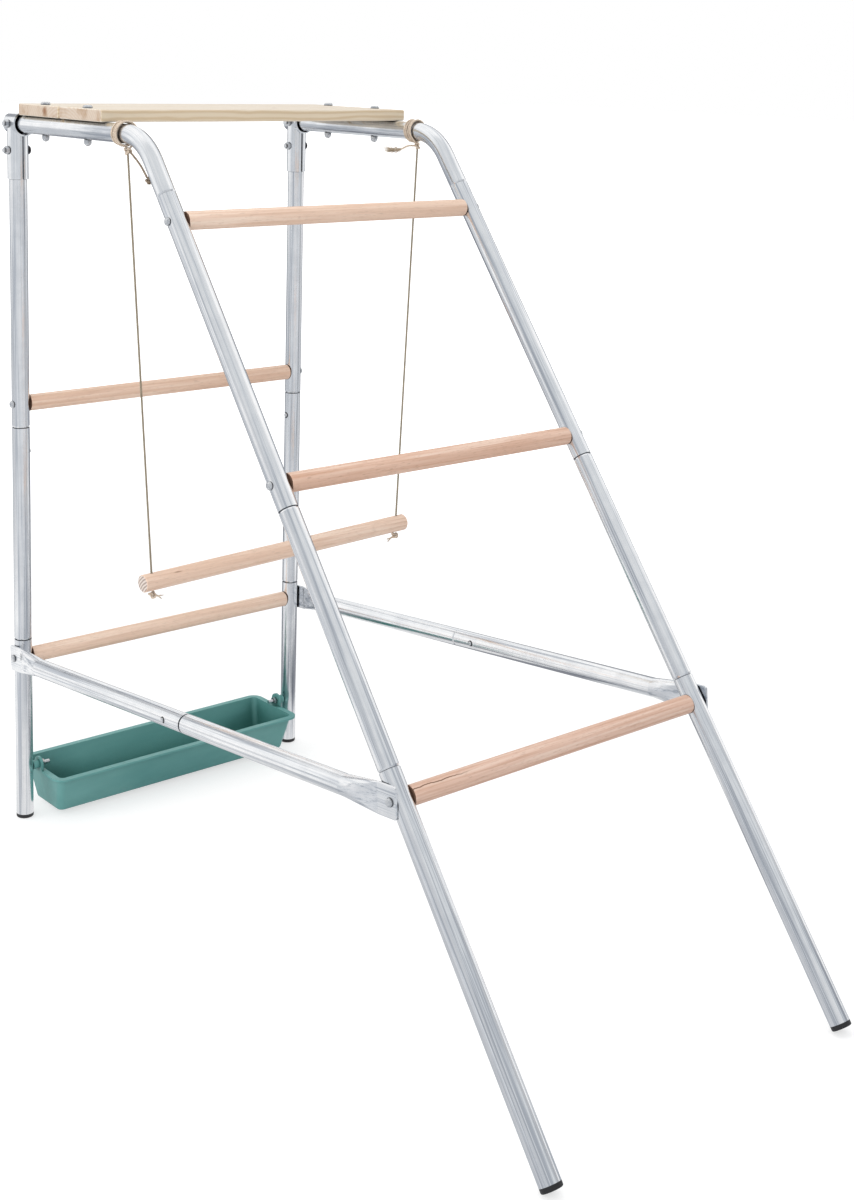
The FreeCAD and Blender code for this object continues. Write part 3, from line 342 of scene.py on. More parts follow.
def button_rim_shade(graph, point):
    """One on the sharp rim of each snap button's hole, where shade is painted."""
    rims = 0.0
    for node, face in BUTTON_FACES.items():
        low, high, centre = node_box(node)
        tip = (high.x if face > 0 else low.x, centre.y, centre.z)
        away = graph.vector("DISTANCE", point, tip)
        inner = graph.spread(away, *BUTTON_RING_IN)
        outer = graph.spread(away, *BUTTON_RING_OUT, *FALLING)
        rims = graph.math("MAXIMUM", rims, graph.math("MULTIPLY", inner, outer))
    return rims


def galvanised(name, across=None):
    """Zinc-coated tube: fine lines drawn along it, faint clouds, painted shade in its joints and on its
    hole rims.
    """
    made, graph, surface = new_material(name, metallic=1.0)
    point = graph.coordinates()
    clouds = graph.noise(point, ZINC_CLOUDS, detail=4.0, roughness=0.6)
    drawn = drawn_lines(graph, point, *ZINC_LINES, across)
    tone = graph.ramp(drawn, ZINC_TONES)
    tone = graph.mix(graph.spread(clouds, *CLOUD_RANGE, 0.0, ZINC_CLOUDED), tone, ZINC_CLOUD)
    # Painted shade on the rims of the snap buttons' holes
    tone = graph.mix(button_rim_shade(graph, point), tone, BUTTON_RIM_PAINTED_SHADE)
    # Painted shade in the tube's joints and contact lines
    tone = graph.mix(crevices(graph, ZINC_PAINTED_SHADE_REACH, *PAINTED_SHADE_RANGE), ZINC_PAINTED_SHADE, tone)
    roughness = graph.spread(clouds, *NOISE_RANGE, *ZINC_ROUGHNESS)
    dress(graph, surface, tone, roughness, graph.bump(drawn, *ZINC_BUMP))
    return made


def pressed(name, dark, blotched, roughness):
    """Pressed and galvanised sheet: drawn lines under soft blotches, which take a share of its tone, and
    painted shade in its joints.
    """
    made, graph, surface = new_material(name, metallic=1.0)
    point = graph.coordinates()
    blotches = graph.noise(point, SHEET_BLOTCHES, detail=5.0, roughness=0.6)
    grain = graph.noise(point, SHEET_GRAIN, detail=2.0)
    drawn = drawn_lines(graph, point, *SHEET_LINES)
    tone = graph.ramp(drawn, ((SHEET_DARK_AT, dark), *SHEET_TONES))
    tone = graph.mix(graph.spread(blotches, *CLOUD_RANGE, 0.0, blotched), tone, SHEET_BLOTCH)
    # Painted shade in the sheet's joints and contact lines
    tone = graph.mix(crevices(graph, SHEET_PAINTED_SHADE_REACH, *PAINTED_SHADE_RANGE), SHEET_PAINTED_SHADE, tone)
    rough = graph.spread(blotches, *NOISE_RANGE, *roughness)
    dress(graph, surface, tone, rough, graph.bump(grain, *SHEET_BUMP))
    return made


def worn_tone(graph, wear, dark, light):
    """A tone between two colours, by wear."""
    return graph.ramp(wear, tuple(zip(FASTENER_PLACES, (dark, light))))


def plated(name, tones, roughness):
    """A plated fastener, a little worn and uneven in tone, with painted shade in its crevices."""
    made, graph, surface = new_material(name, metallic=1.0)
    wear = graph.noise(graph.coordinates(), FASTENER_WEAR, detail=4.0, roughness=0.6)
    painted_shade = crevices(graph, FASTENER_PAINTED_SHADE_REACH, *FASTENER_PAINTED_SHADE_RANGE)
    tone = graph.mix(painted_shade, FASTENER_PAINTED_SHADE, worn_tone(graph, wear, *tones))
    rough = graph.spread(wear, *NOISE_RANGE, *roughness)
    dress(graph, surface, tone, rough, graph.bump(wear, *FASTENER_BUMP))
    return made


def clamp_bolt():
    """A clamp's bolt: its domed head on the +X side, turned from the camera, is painted dark as shade;
    its other end is bright.
    """
    made, graph, surface = new_material("clamp_bolt", metallic=1.0)
    point = graph.coordinates()
    across = graph.parts(point)[0]
    middle = graph.math("MULTIPLY", graph.math("SIGN", across), FRAME_X)
    head = graph.math("GREATER_THAN", across, middle)
    wear = graph.noise(point, FASTENER_WEAR, detail=4.0, roughness=0.6)
    # The head side gets the painted shade, the other end the bright zinc
    tone = graph.mix(head, worn_tone(graph, wear, *BOLT_BRIGHT), worn_tone(graph, wear, *BOLT_HEAD_PAINTED_SHADE))
    # Painted shade in the bolt's crevices
    tone = graph.mix(crevices(graph, BOLT_PAINTED_SHADE_REACH, *BOLT_PAINTED_SHADE_RANGE), BOLT_PAINTED_SHADE, tone)
    rough = graph.spread(wear, *NOISE_RANGE, *BOLT_ROUGHNESS)
    dress(graph, surface, tone, rough, graph.bump(wear, *FASTENER_BUMP))
    return made


# Wood
# Washes per bar: partly each bar's own tone, partly painted light and shade that lighten or darken whole
# bars
CREAM = colour(0.88, 0.74, 0.61)
DULL = colour(0.51, 0.34, 0.29)
BAR_TONES_AND_PAINTED_LIGHT = {
    "front_high_perch": (0.30, CREAM),
    "front_middle_perch": (0.15, DULL),
    "front_low_perch": (0.30, DULL),
    "rear_high_perch": (0.20, CREAM),
    "rear_low_perch": (0.35, CREAM),
    "swing_bar": (0.30, CREAM),
}
# Perch end grain: real rings, in a dark tone that is painted shade where the perches butt against the
# legs
PERCH_ENDS_PAINTED_SHADE = {"dark": colour(0.20, 0.11, 0.07), "light": colour(0.34, 0.21, 0.14), "rings": 620.0}
SWING_ENDS = {"dark": colour(0.38, 0.30, 0.26), "light": colour(0.70, 0.61, 0.55), "rings": 240.0}
BEECH_LINES = (5, 260, 260)
BEECH_BROAD = (3, 60, 60)
BEECH_FLECKS = (90, 1100, 1100)
BEECH_SPOTS = (16, 90, 90)
BEECH_SPOTS_MOVED = (0.3, 0.1, 0)
BEECH_TONES = (
    (0.32, colour(0.62, 0.37, 0.25)),
    (0.50, colour(0.80, 0.55, 0.42)),
    (0.66, colour(0.89, 0.69, 0.56)),
)
BEECH_SHADE = colour(0.68, 0.41, 0.28)
BEECH_SHADED = (0.36, 0.58, 0.55, 0.0)
BEECH_FLECK = colour(0.45, 0.27, 0.18)
BEECH_FLECKED = (0.60, 0.70, 0.0, 0.5)
BEECH_SPOT = colour(0.26, 0.13, 0.07)
BEECH_SPOTTED = (0.74, 0.80, 0.0, 0.75)
# Painted shade where the wood meets the tubes: its colour, reach and occlusion range
BEECH_PAINTED_SHADE = colour(0.16, 0.09, 0.06)
BEECH_PAINTED_SHADE_REACH = 6 * MILLIMETRE
BEECH_PAINTED_SHADE_RANGE = (0.35, 0.8)
BEECH_ROUGHNESS = (0.62, 0.5)
BEECH_BUMP = (0.2 * MILLIMETRE, 0.35)
CRACK_TONE = colour(0.17, 0.09, 0.05)
CRACK_LENGTH = 0.095
CRACK_HALF_WIDTH = 0.35 * MILLIMETRE
CRACK_WAVES = (60, 0, 0)
CRACK_WANDER = 4 * MILLIMETRE
CRACK_RISE = (15 * MILLIMETRE, 20 * MILLIMETRE)
END_FACING = 0.8
END_RINGS_MOVED = (0, -0.19, -0.40)
END_PLACES = (0.15, 0.70)
END_WARP = 60.0
END_WARPED = 5.0
PITH_SCALE = (0.04, 1, 1)
PITH_MOVED = (0, -0.378, -0.985)
PINE_RINGS = 230.0
PINE_WARP = (7, 30, 30)
PINE_WARPED = 9.0
PINE_LATE = 2.2
PINE_FINE = (9, 420, 420)
PINE_FACE = (colour(0.78, 0.72, 0.63), colour(0.68, 0.57, 0.44))
# Browner long faces: partly the wood's own tone, partly painted shade
PINE_EDGE_AND_SHADE = (colour(0.74, 0.61, 0.43), colour(0.64, 0.49, 0.31))
PINE_EDGE_AND_SHADED = (0.6, 0.9, 0.0, 0.75)
PINE_LINE = colour(0.62, 0.51, 0.39)
PINE_LINED = (0.38, 0.68, 0.0, 0.4)
PINE_END = colour(0.46, 0.34, 0.26)
PINE_ENDED = 0.55
PINE_STAINS = 34.0
PINE_STAIN = colour(0.36, 0.22, 0.12)
PINE_STAINED = (0.44, 0.68, 0.0, 0.7)
PINE_ROUGHNESS = (0.68, 0.55)
PINE_BUMP = (0.25 * MILLIMETRE, 0.4)
PINE_RIDGE = 0.6
KNOT_TONE = colour(0.24, 0.11, 0.05)
KNOTS = (((-0.2535, 0.428, 1.043), 11 * MILLIMETRE), ((0.07, 0.352, 1.0505), 8 * MILLIMETRE))
KNOT_RAGGED = 4 * MILLIMETRE
KNOT_GRAIN = 160.0
KNOT_CORE = 0.25
KNOT_DARKNESS = 0.85


def beech(name, share, wash, ends):
    """Turned beech, washed with a share of a tone per bar, partly the bar's own tone and partly painted
    light and shade: fine lines, short flecks, ringed ends.
    """
    made, graph, surface = new_material(name, specular=0.2)
    point = graph.coordinates()
    lines = graph.streaks(point, BEECH_LINES, detail=4.0, roughness=0.6)
    broad = graph.streaks(point, BEECH_BROAD)
    flecks = graph.streaks(point, BEECH_FLECKS, detail=1.0)
    spots = graph.streaks(point, BEECH_SPOTS, detail=1.0, place=BEECH_SPOTS_MOVED)
    tone = graph.ramp(lines, BEECH_TONES)
    tone = graph.mix(graph.spread(broad, *BEECH_SHADED), tone, BEECH_SHADE)
    tone = graph.mix(graph.spread(flecks, *BEECH_FLECKED), tone, BEECH_FLECK)
    tone = graph.mix(share, tone, wash)
    tone = graph.mix(graph.spread(spots, *BEECH_SPOTTED), tone, BEECH_SPOT)
    tone = graph.mix(drying_crack(graph, point), tone, CRACK_TONE)
    # Sawn ends get their end grain; on the perches its dark tone is painted shade
    tone = graph.mix(end_faces(graph), tone, end_grain(graph, point, **ends))
    # Painted shade in joints and contact lines
    tone = graph.mix(crevices(graph, BEECH_PAINTED_SHADE_REACH, *BEECH_PAINTED_SHADE_RANGE), BEECH_PAINTED_SHADE, tone)
    rough = graph.spread(lines, *NOISE_RANGE, *BEECH_ROUGHNESS)
    dress(graph, surface, tone, rough, graph.bump(lines, *BEECH_BUMP))
    return made


def drying_crack(graph, point):
    """A hair crack that runs in from the left end of the lowest front perch."""
    low, _, centre = node_box("front_low_perch")
    across, along, rise = graph.parts(point)
    wander = graph.streaks(point, CRACK_WAVES, detail=2.0)
    moved = graph.math("MULTIPLY_ADD", wander, CRACK_WANDER, CRACK_WANDER - centre.y)
    off = graph.math("ABSOLUTE", graph.math("ADD", along, moved))
    height = graph.math("ABSOLUTE", graph.math("SUBTRACT", rise, centre.z))
    crack = graph.spread(off, CRACK_HALF_WIDTH, 2 * CRACK_HALF_WIDTH, *FALLING)
    reach = graph.spread(across, low.x + 0.5 * CRACK_LENGTH, low.x + CRACK_LENGTH, *FALLING)
    near = graph.spread(height, *CRACK_RISE, *FALLING)
    upper = graph.math("GREATER_THAN", rise, centre.z)
    for limit in (reach, upper, near):
        crack = graph.math("MULTIPLY", crack, limit)
    return crack


def end_faces(graph):
    """One where a face looks along X, as the sawn ends do."""
    across = graph.parts(graph.coordinates("Normal"))[0]
    return graph.math("GREATER_THAN", graph.math("ABSOLUTE", across), END_FACING)


def year_rings(graph, place, count, warp, warped):
    """A wave from zero to one, with so many rings to a metre round the axis of place."""
    reach = graph.vector("LENGTH", place)
    bent = graph.math("MULTIPLY", warp, warped)
    phase = graph.math("MULTIPLY_ADD", reach, count * FULL_TURN, bent)
    return graph.spread(graph.math("SINE", phase), -1.0, 1.0)


def end_grain(graph, point, dark, light, rings):
    """Curved year rings on a sawn end."""
    place = graph.scaled(point, (0, 1, 1), END_RINGS_MOVED)
    warp = graph.noise(point, END_WARP, detail=2.0)
    wave = year_rings(graph, place, rings, warp, END_WARPED)
    return graph.ramp(wave, tuple(zip(END_PLACES, (dark, light))))


def pine():
    """Planed pine planks: year rings cut along the board, knots, browner long edges that are partly the
    wood and partly painted shade, stained ends.
    """
    made, graph, surface = new_material("pine", specular=0.25)
    point = graph.coordinates()
    warp = graph.streaks(point, PINE_WARP)
    pith = graph.scaled(point, PITH_SCALE, PITH_MOVED)
    late = graph.math("POWER", year_rings(graph, pith, PINE_RINGS, warp, PINE_WARPED), PINE_LATE)
    fine = graph.streaks(point, PINE_FINE)
    tone = graph.mix(late, *PINE_FACE)
    tone = graph.mix(graph.spread(fine, *PINE_LINED), tone, PINE_LINE)
    # Faces that look along Y are browner: partly the wood, partly painted shade
    sides = graph.math("ABSOLUTE", graph.parts(graph.coordinates("Normal"))[1])
    tone = graph.mix(graph.spread(sides, *PINE_EDGE_AND_SHADED), tone, graph.mix(late, *PINE_EDGE_AND_SHADE))
    ends = end_faces(graph)
    tone = graph.mix(graph.math("MULTIPLY", ends, PINE_ENDED), tone, PINE_END)
    stain = graph.noise(point, PINE_STAINS, roughness=0.6)
    rust = graph.math("MULTIPLY", ends, graph.spread(stain, *PINE_STAINED))
    tone = graph.mix(rust, tone, PINE_STAIN)
    for place, size in KNOTS:
        tone = graph.mix(knot_spot(graph, point, place, size), tone, KNOT_TONE)
    rough = graph.spread(fine, *NOISE_RANGE, *PINE_ROUGHNESS)
    height = graph.math("MULTIPLY_ADD", late, PINE_RIDGE, fine)
    dress(graph, surface, tone, rough, graph.bump(height, *PINE_BUMP))
    return made


def knot_spot(graph, point, place, size):
    """A soft dark spot where a branch grew."""
    away = graph.vector("DISTANCE", point, place)
    ragged = graph.math("MULTIPLY_ADD", graph.noise(point, KNOT_GRAIN), KNOT_RAGGED, away)
    return graph.spread(ragged, KNOT_CORE * size, size, KNOT_DARKNESS, 0.0)


# Plastic
PLASTIC_FLOW = (9, 30, 24)
PLASTIC_SCUFFS = (40, 500, 160)
PLASTIC_SCUFFED = (0.62, 0.78, 0.0, 0.25)
PLASTIC_SCUFF_RANGE = (0.3, 0.75)
PLASTIC_BUMP = (0.06 * MILLIMETRE, 0.35)
HOLLOW_REACH = 0.09
HOLLOW_RANGE = (0.45, 0.85)
HOLLOW_SHADE = colour(0.30, 0.42, 0.40)
GREEN_PLASTIC = {
    "dark": colour(0.104, 0.300, 0.284),
    "light": colour(0.138, 0.352, 0.334),
    "roughness": (0.34, 0.5),
    "grain": 900.0,
}
BLACK_PLASTIC = {
    "dark": colour(0.010, 0.010, 0.011),
    "light": colour(0.022, 0.022, 0.024),
    "roughness": (0.4, 0.58),
    "grain": 1400.0,
}


def moulded(name, dark, light, roughness, grain):
    """Moulded plastic: slight flow marks, a fine skin and scuffs, darker in its own hollow."""
    made, graph, surface = new_material(name, specular=0.45)
    point = graph.coordinates()
    flow = graph.streaks(point, PLASTIC_FLOW)
    skin = graph.noise(point, grain, detail=2.0)
    scuffs = graph.streaks(point, PLASTIC_SCUFFS, detail=4.0, roughness=0.65)
    tone = graph.ramp(flow, tuple(zip(NOISE_RANGE, (dark, light))))
    tone = graph.mix(graph.spread(scuffs, *PLASTIC_SCUFFED), tone, light)
    hollow = graph.mix(crevices(graph, HOLLOW_REACH, *HOLLOW_RANGE, alone=True), HOLLOW_SHADE, WHITE)
    tone = graph.mix(1.0, tone, hollow, "MULTIPLY")
    rough = graph.spread(scuffs, *PLASTIC_SCUFF_RANGE, *roughness)
    dress(graph, surface, tone, rough, graph.bump(skin, *PLASTIC_BUMP))
    return made


# Rope fibre
JUTE_FIBRES = (0.35, 26, 1)
JUTE_FIBRE_SHARE = 0.7
JUTE_PATCHES = 180.0
JUTE_PATCH_SHARE = 0.3
JUTE_PLACES = (0.36, 0.52, 0.68)
JUTE_SHADE = colour(0.46, 0.41, 0.37)
JUTE_SHADE_REACH = 3.5 * MILLIMETRE
JUTE_SHADE_RANGE = (0.2, 0.65)
JUTE_ROUGHNESS = (0.95, 0.8)
JUTE_BUMP = (0.3 * MILLIMETRE, 0.8)
JUTES = {
    "jute_tan": (colour(0.46, 0.36, 0.27), colour(0.74, 0.62, 0.50), colour(0.87, 0.78, 0.67)),
    "jute_brown": (colour(0.17, 0.125, 0.09), colour(0.34, 0.265, 0.195), colour(0.52, 0.43, 0.33)),
    "jute_grey": (colour(0.19, 0.155, 0.11), colour(0.34, 0.285, 0.21), colour(0.50, 0.43, 0.33)),
    "jute_pale": (colour(0.40, 0.30, 0.19), colour(0.60, 0.48, 0.33), colour(0.74, 0.62, 0.46)),
}


def jute(name, tones):
    """Jute yarn: fibres that run along each strand, with pale and dark ones mixed."""
    made, graph, surface = new_material(name, specular=0.15)
    fibres = graph.streaks(graph.coordinates("UV"), JUTE_FIBRES, detail=4.0, roughness=0.65)
    patches = graph.noise(graph.coordinates(), JUTE_PATCHES)
    patchy = graph.math("MULTIPLY", patches, JUTE_PATCH_SHARE)
    clouds = graph.math("MULTIPLY_ADD", fibres, JUTE_FIBRE_SHARE, patchy)
    tone = graph.ramp(clouds, tuple(zip(JUTE_PLACES, tones)))
    shaded = graph.mix(crevices(graph, JUTE_SHADE_REACH, *JUTE_SHADE_RANGE), JUTE_SHADE, WHITE)
    tone = graph.mix(1.0, tone, shaded, "MULTIPLY")
    rough = graph.spread(fibres, *NOISE_RANGE, *JUTE_ROUGHNESS)
    dress(graph, surface, tone, rough, graph.bump(fibres, *JUTE_BUMP))
    return made


# Finishes of the nodes
def special_finishes():
    """Finishes that belong to single nodes: clamps, clamp bolts and wooden bars."""
    special = {"clamp_bolts": clamp_bolt()}
    clamp = pressed("clamp_steel", **CLAMP_SHEET)
    for side in SIDES:
        for half in ("outer", "inner"):
            special[f"{side}_clamp_{half}"] = clamp
    for node, (share, wash) in BAR_TONES_AND_PAINTED_LIGHT.items():
        ends = SWING_ENDS if node == "swing_bar" else PERCH_ENDS_PAINTED_SHADE
        special[node] = beech(f"beech_{node}", share, wash, ends)
    return special


def dress_nodes():
    """Gives each visible CAD node the finish of its name, of its kind of straight tube or of its slot."""
    finishes = {
        "galvanised_steel": galvanised("galvanised_steel"),
        "pressed_steel": pressed("pressed_steel", **BRACE_SHEET),
        "zinc_steel": plated("zinc_steel", FASTENER_TONES, FASTENER_ROUGHNESS),
        "pine": pine(),
        "green_plastic": moulded("green_plastic", **GREEN_PLASTIC),
        "black_plastic": moulded("black_plastic", **BLACK_PLASTIC),
    }
    straight = {}
    for kind, across in TUBE_ACROSS.items():
        straight[kind] = galvanised(f"galvanised_{kind}", across)
    special = special_finishes()
    for subpart in frame["record"]["subparts"]:
        finish = finishes.get(subpart["material_slot"])
        if subpart["material_slot"] == "galvanised_steel":
            finish = straight.get(subpart["node"].split("_")[1], finish)
        finish = special.get(subpart["node"], finish)
        if finish:
            for slot in frame["nodes"][subpart["node"]].material_slots:
                slot.material = finish


# Button springs
LEAF_FACE = 9.207 * MILLIMETRE
LEAF_SEAT = 0.05 * MILLIMETRE
LEAF_WIDTH = 7 * MILLIMETRE
LEAF_THICKNESS = 0.8 * MILLIMETRE
LEAF_END = 8 * MILLIMETRE
LEAF_RISE = 18 * MILLIMETRE
LEAF_ARC_STEPS = 16
LEAF_CORNERS = 4
LEAF_TONES = (colour(0.35, 0.36, 0.38), colour(0.5, 0.51, 0.53))
LEAF_ROUGHNESS = (0.25, 0.4)
LEAF_BENDS = {
    "left_leg_button": (0, 0, 1),
    "right_leg_button": (0, 0, 1),
    "left_brace_button": (0, -0.9949, 0.1008),
    "right_brace_button": (0, 0.9949, -0.1008),
}


def leaf_profile():
    """The U of a leaf spring from its button's side to its fixed side: places and outward normals."""
    radius = LEAF_FACE - LEAF_THICKNESS / 2
    profile = [((radius, -LEAF_END), (1, 0))]
    for step in range(LEAF_ARC_STEPS + 1):
        angle = math.pi * step / LEAF_ARC_STEPS
        outward = (math.cos(angle), math.sin(angle))
        profile.append(((radius * outward[0], LEAF_RISE + radius * outward[1]), outward))
    profile.append(((-radius, -LEAF_END), (-1, 0)))
    return profile


def add_spring(button, face, bend, finish):
    """A leaf spring inside its tube, with one side at the button."""
    low, high, centre = node_box(button)
    centre.x = (low.x if face > 0 else high.x) - face * (LEAF_FACE + LEAF_SEAT)
    outward = Vector((face, 0, 0))
    along = Vector(bend)
    wide = outward.cross(along) * (LEAF_WIDTH / 2)
    points = []
    for (across, rise), (normal_across, normal_rise) in leaf_profile():
        place = centre + outward * across + along * rise
        thick = (outward * normal_across + along * normal_rise) * (LEAF_THICKNESS / 2)
        points += [place + thick + wide, place + thick - wide]
        points += [place - thick - wide, place - thick + wide]
    last = len(points) - LEAF_CORNERS
    faces = []
    for base in range(0, last, LEAF_CORNERS):
        faces += ring_faces(base, LEAF_CORNERS)
    faces.append(tuple(reversed(range(LEAF_CORNERS))))
    faces.append(tuple(range(last, last + LEAF_CORNERS)))
    mesh = bpy.data.meshes.new(f"{button}_spring")
    mesh.from_pydata(points, [], faces)
    mesh.materials.append(finish)
    made = add_object(f"{button}_spring", mesh)
    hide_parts("snap_springs")
    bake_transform(made)


def add_springs():
    """The four leaf springs of the snap buttons."""
    finish = plated("spring_steel", LEAF_TONES, LEAF_ROUGHNESS)
    for button, bend in LEAF_BENDS.items():
        add_spring(button, BUTTON_FACES[button], bend, finish)


# Ropes: the lay of the rope, its windings, the bar that it carries and its free tails
ROPE = 3.0 * MILLIMETRE
LAY = 9.5 * MILLIMETRE
STRANDS = 3
STRAND_OFFSET = 0.268 * ROPE
STRAND_RADIUS = 0.232 * ROPE
STRAND_SIDES = 8
ROPE_STEP = 1.0 * MILLIMETRE
SKIN = 0.4 * ROPE
TIE_Y = 0.235605
TIE_Z = 1.0007
TIE_SIZE = 12.4 * MILLIMETRE
TIE_AXIS = (-0.6, 0.3)
TIE_TURN = 0.4
TUBE_Z = 1.022
WRAP_RADIUS = 14.6 * MILLIMETRE
WRAP_PITCH = 3.8 * MILLIMETRE
WRAP_REACH = TUBE_Z - TIE_Z
WRAP_COUNT = 3
WRAP_STUB = 3.0 * MILLIMETRE
WRAP_POINTS = 32
WRAP_SLACK = 1.1 * MILLIMETRE
WRAP_SWAY = 0.45 * MILLIMETRE
WRAP_WANDER = 0.37
BAR_CENTRE = Vector((0, 0.225792, 0.4385))
BAR_TILT = math.radians(1.3)
BAR_YAW = math.radians(1.5)
BAR_ROPE_AT = 0.214
ROPE_PAST_BAR = 12.1 * MILLIMETRE
STOPPER_PAST_END = 5.65 * MILLIMETRE
STOPPER_SIZE = 13.2 * MILLIMETRE
STOPPER_AXIS = Vector((0.2, -0.5, 1.0))
STOPPER_TURN = 0.7
STOPPER_STUB = 14 * MILLIMETRE
STOPPER_DROP = 0.4
STOPPER_FORK = 0.55
STOPPER_LEANS = (-0.3, 0.3)
STOPPER_SWELL = 1.3
LEFT_TAIL = [
    (-0.3, -5.6, -0.6), (-0.6, -15, -5.5), (-0.4, -26, -12.5), (0.4, -35, -20), (2, -43, -31),
]
RIGHT_TAIL = [
    (-4.4, 3.2, 0.3), (-10.4, 7.8, 0.9), (-17, 12.6, -4.2), (-24.5, 18, -7.2), (-34.4, 25.6, -6),
]
TAILS = {-1: LEFT_TAIL, 1: RIGHT_TAIL}
TAIL_RESOLUTION = 24
TAIL_KNOT_GAP = 4.65 * MILLIMETRE
TAIL_KNOT_SIZE = 11.2 * MILLIMETRE
TAIL_KNOT_AXIS = Vector((0.5, -0.8, 0.2))
TAIL_KNOT_TURN = 1.1
TANGLE_POINTS = 96
TANGLE_REACH = 3.0
TANGLE_RISE = 1.35

# Loose fibres: spacing and length of the fuzz, and the size of each brush; _LENGTHS are in millimetres
CHANCE_SEED = 7
FIBRE_STEPS = 5
FIBRE_SIDES = 3
FIBRE_TAPER = 0.8
FIBRE_THICK = 0.06 * MILLIMETRE
FUZZ_CURL = 0.35
FUZZ_LIFT = (0.2, 0.8)
FUZZ_REACH = (0.4, 1.0)
WINDING_FUZZ = (2.2 * MILLIMETRE, 6 * MILLIMETRE)
KNOT_FUZZ = (2.5 * MILLIMETRE, 5 * MILLIMETRE)
HANGING_FUZZ = (6 * MILLIMETRE, 5 * MILLIMETRE)
BRUSH_CURL = 0.3
BRUSH_FIBRES = 26
BRUSH_LENGTHS = (5, 9)
BRUSH_SPREAD = 0.8
BRUSH_PAST_KNOT = 3 * MILLIMETRE
TUFT_CURL = 0.28
TUFT_FIBRES = 240
TUFT_LENGTHS = (6, 12)
TUFT_SPREAD = 0.55
TUFT_WIDTH = 3.2 * MILLIMETRE
TUFT_THICK = 0.16 * MILLIMETRE
SPLIT_FIBRES = 20
SPLIT_LENGTHS = (2, 5)
SPLIT_SPREAD = 0.4
SPLIT_WIDTH = 1.5 * MILLIMETRE
SPLIT_THICK = 0.1 * MILLIMETRE


def spline_line(points, resolution=12):
    """Points read from the smooth line that has these control points."""
    curve = bpy.data.curves.new("route", "CURVE")
    curve.dimensions = "3D"
    curve.resolution_u = resolution
    spline = curve.splines.new("NURBS")
    spline.points.add(len(points) - 1)
    for control, place in zip(spline.points, points):
        control.co = (*place, 1.0)
    spline.order_u = 3
    spline.use_endpoint_u = True
    carrier = bpy.data.objects.new("route", curve)
    mesh = bpy.data.meshes.new_from_object(carrier)
    line = [vertex.co.copy() for vertex in mesh.vertices]
    bpy.data.objects.remove(carrier)
    bpy.data.curves.remove(curve)
    bpy.data.meshes.remove(mesh)
    return line


def even(line, step):
    """The same line with its points a step apart."""
    lengths = [0.0]
    for before, after in zip(line, line[1:]):
        lengths.append(lengths[-1] + (after - before).length)
    count = max(2, round(lengths[-1] / step))
    result = []
    at = 0
    for index in range(count + 1):
        reach = lengths[-1] * index / count
        while at < len(line) - 2 and lengths[at + 1] < reach:
            at += 1
        run = lengths[at + 1] - lengths[at]
        share = (reach - lengths[at]) / run if run else 0.0
        result.append(line[at].lerp(line[at + 1], share))
    return result


def turned_frames(line):
    """Two cross directions at each point of a line, turned as little as possible."""
    last = len(line) - 1
    ways = []
    for index in range(len(line)):
        ways.append((line[min(index + 1, last)] - line[max(index - 1, 0)]).normalized())
    side = ways[0].orthogonal().normalized()
    result = []
    for way in ways:
        side = (side - way * side.dot(way)).normalized()
        result.append((side, way.cross(side)))
    return result


def around(cross, angle):
    """The direction at an angle between two cross directions."""
    side, other = cross
    return side * math.cos(angle) + other * math.sin(angle)


def scatter(chance, reach):
    """A random vector within reach on each axis."""
    return Vector([chance.uniform(-reach, reach) for _ in range(3)])


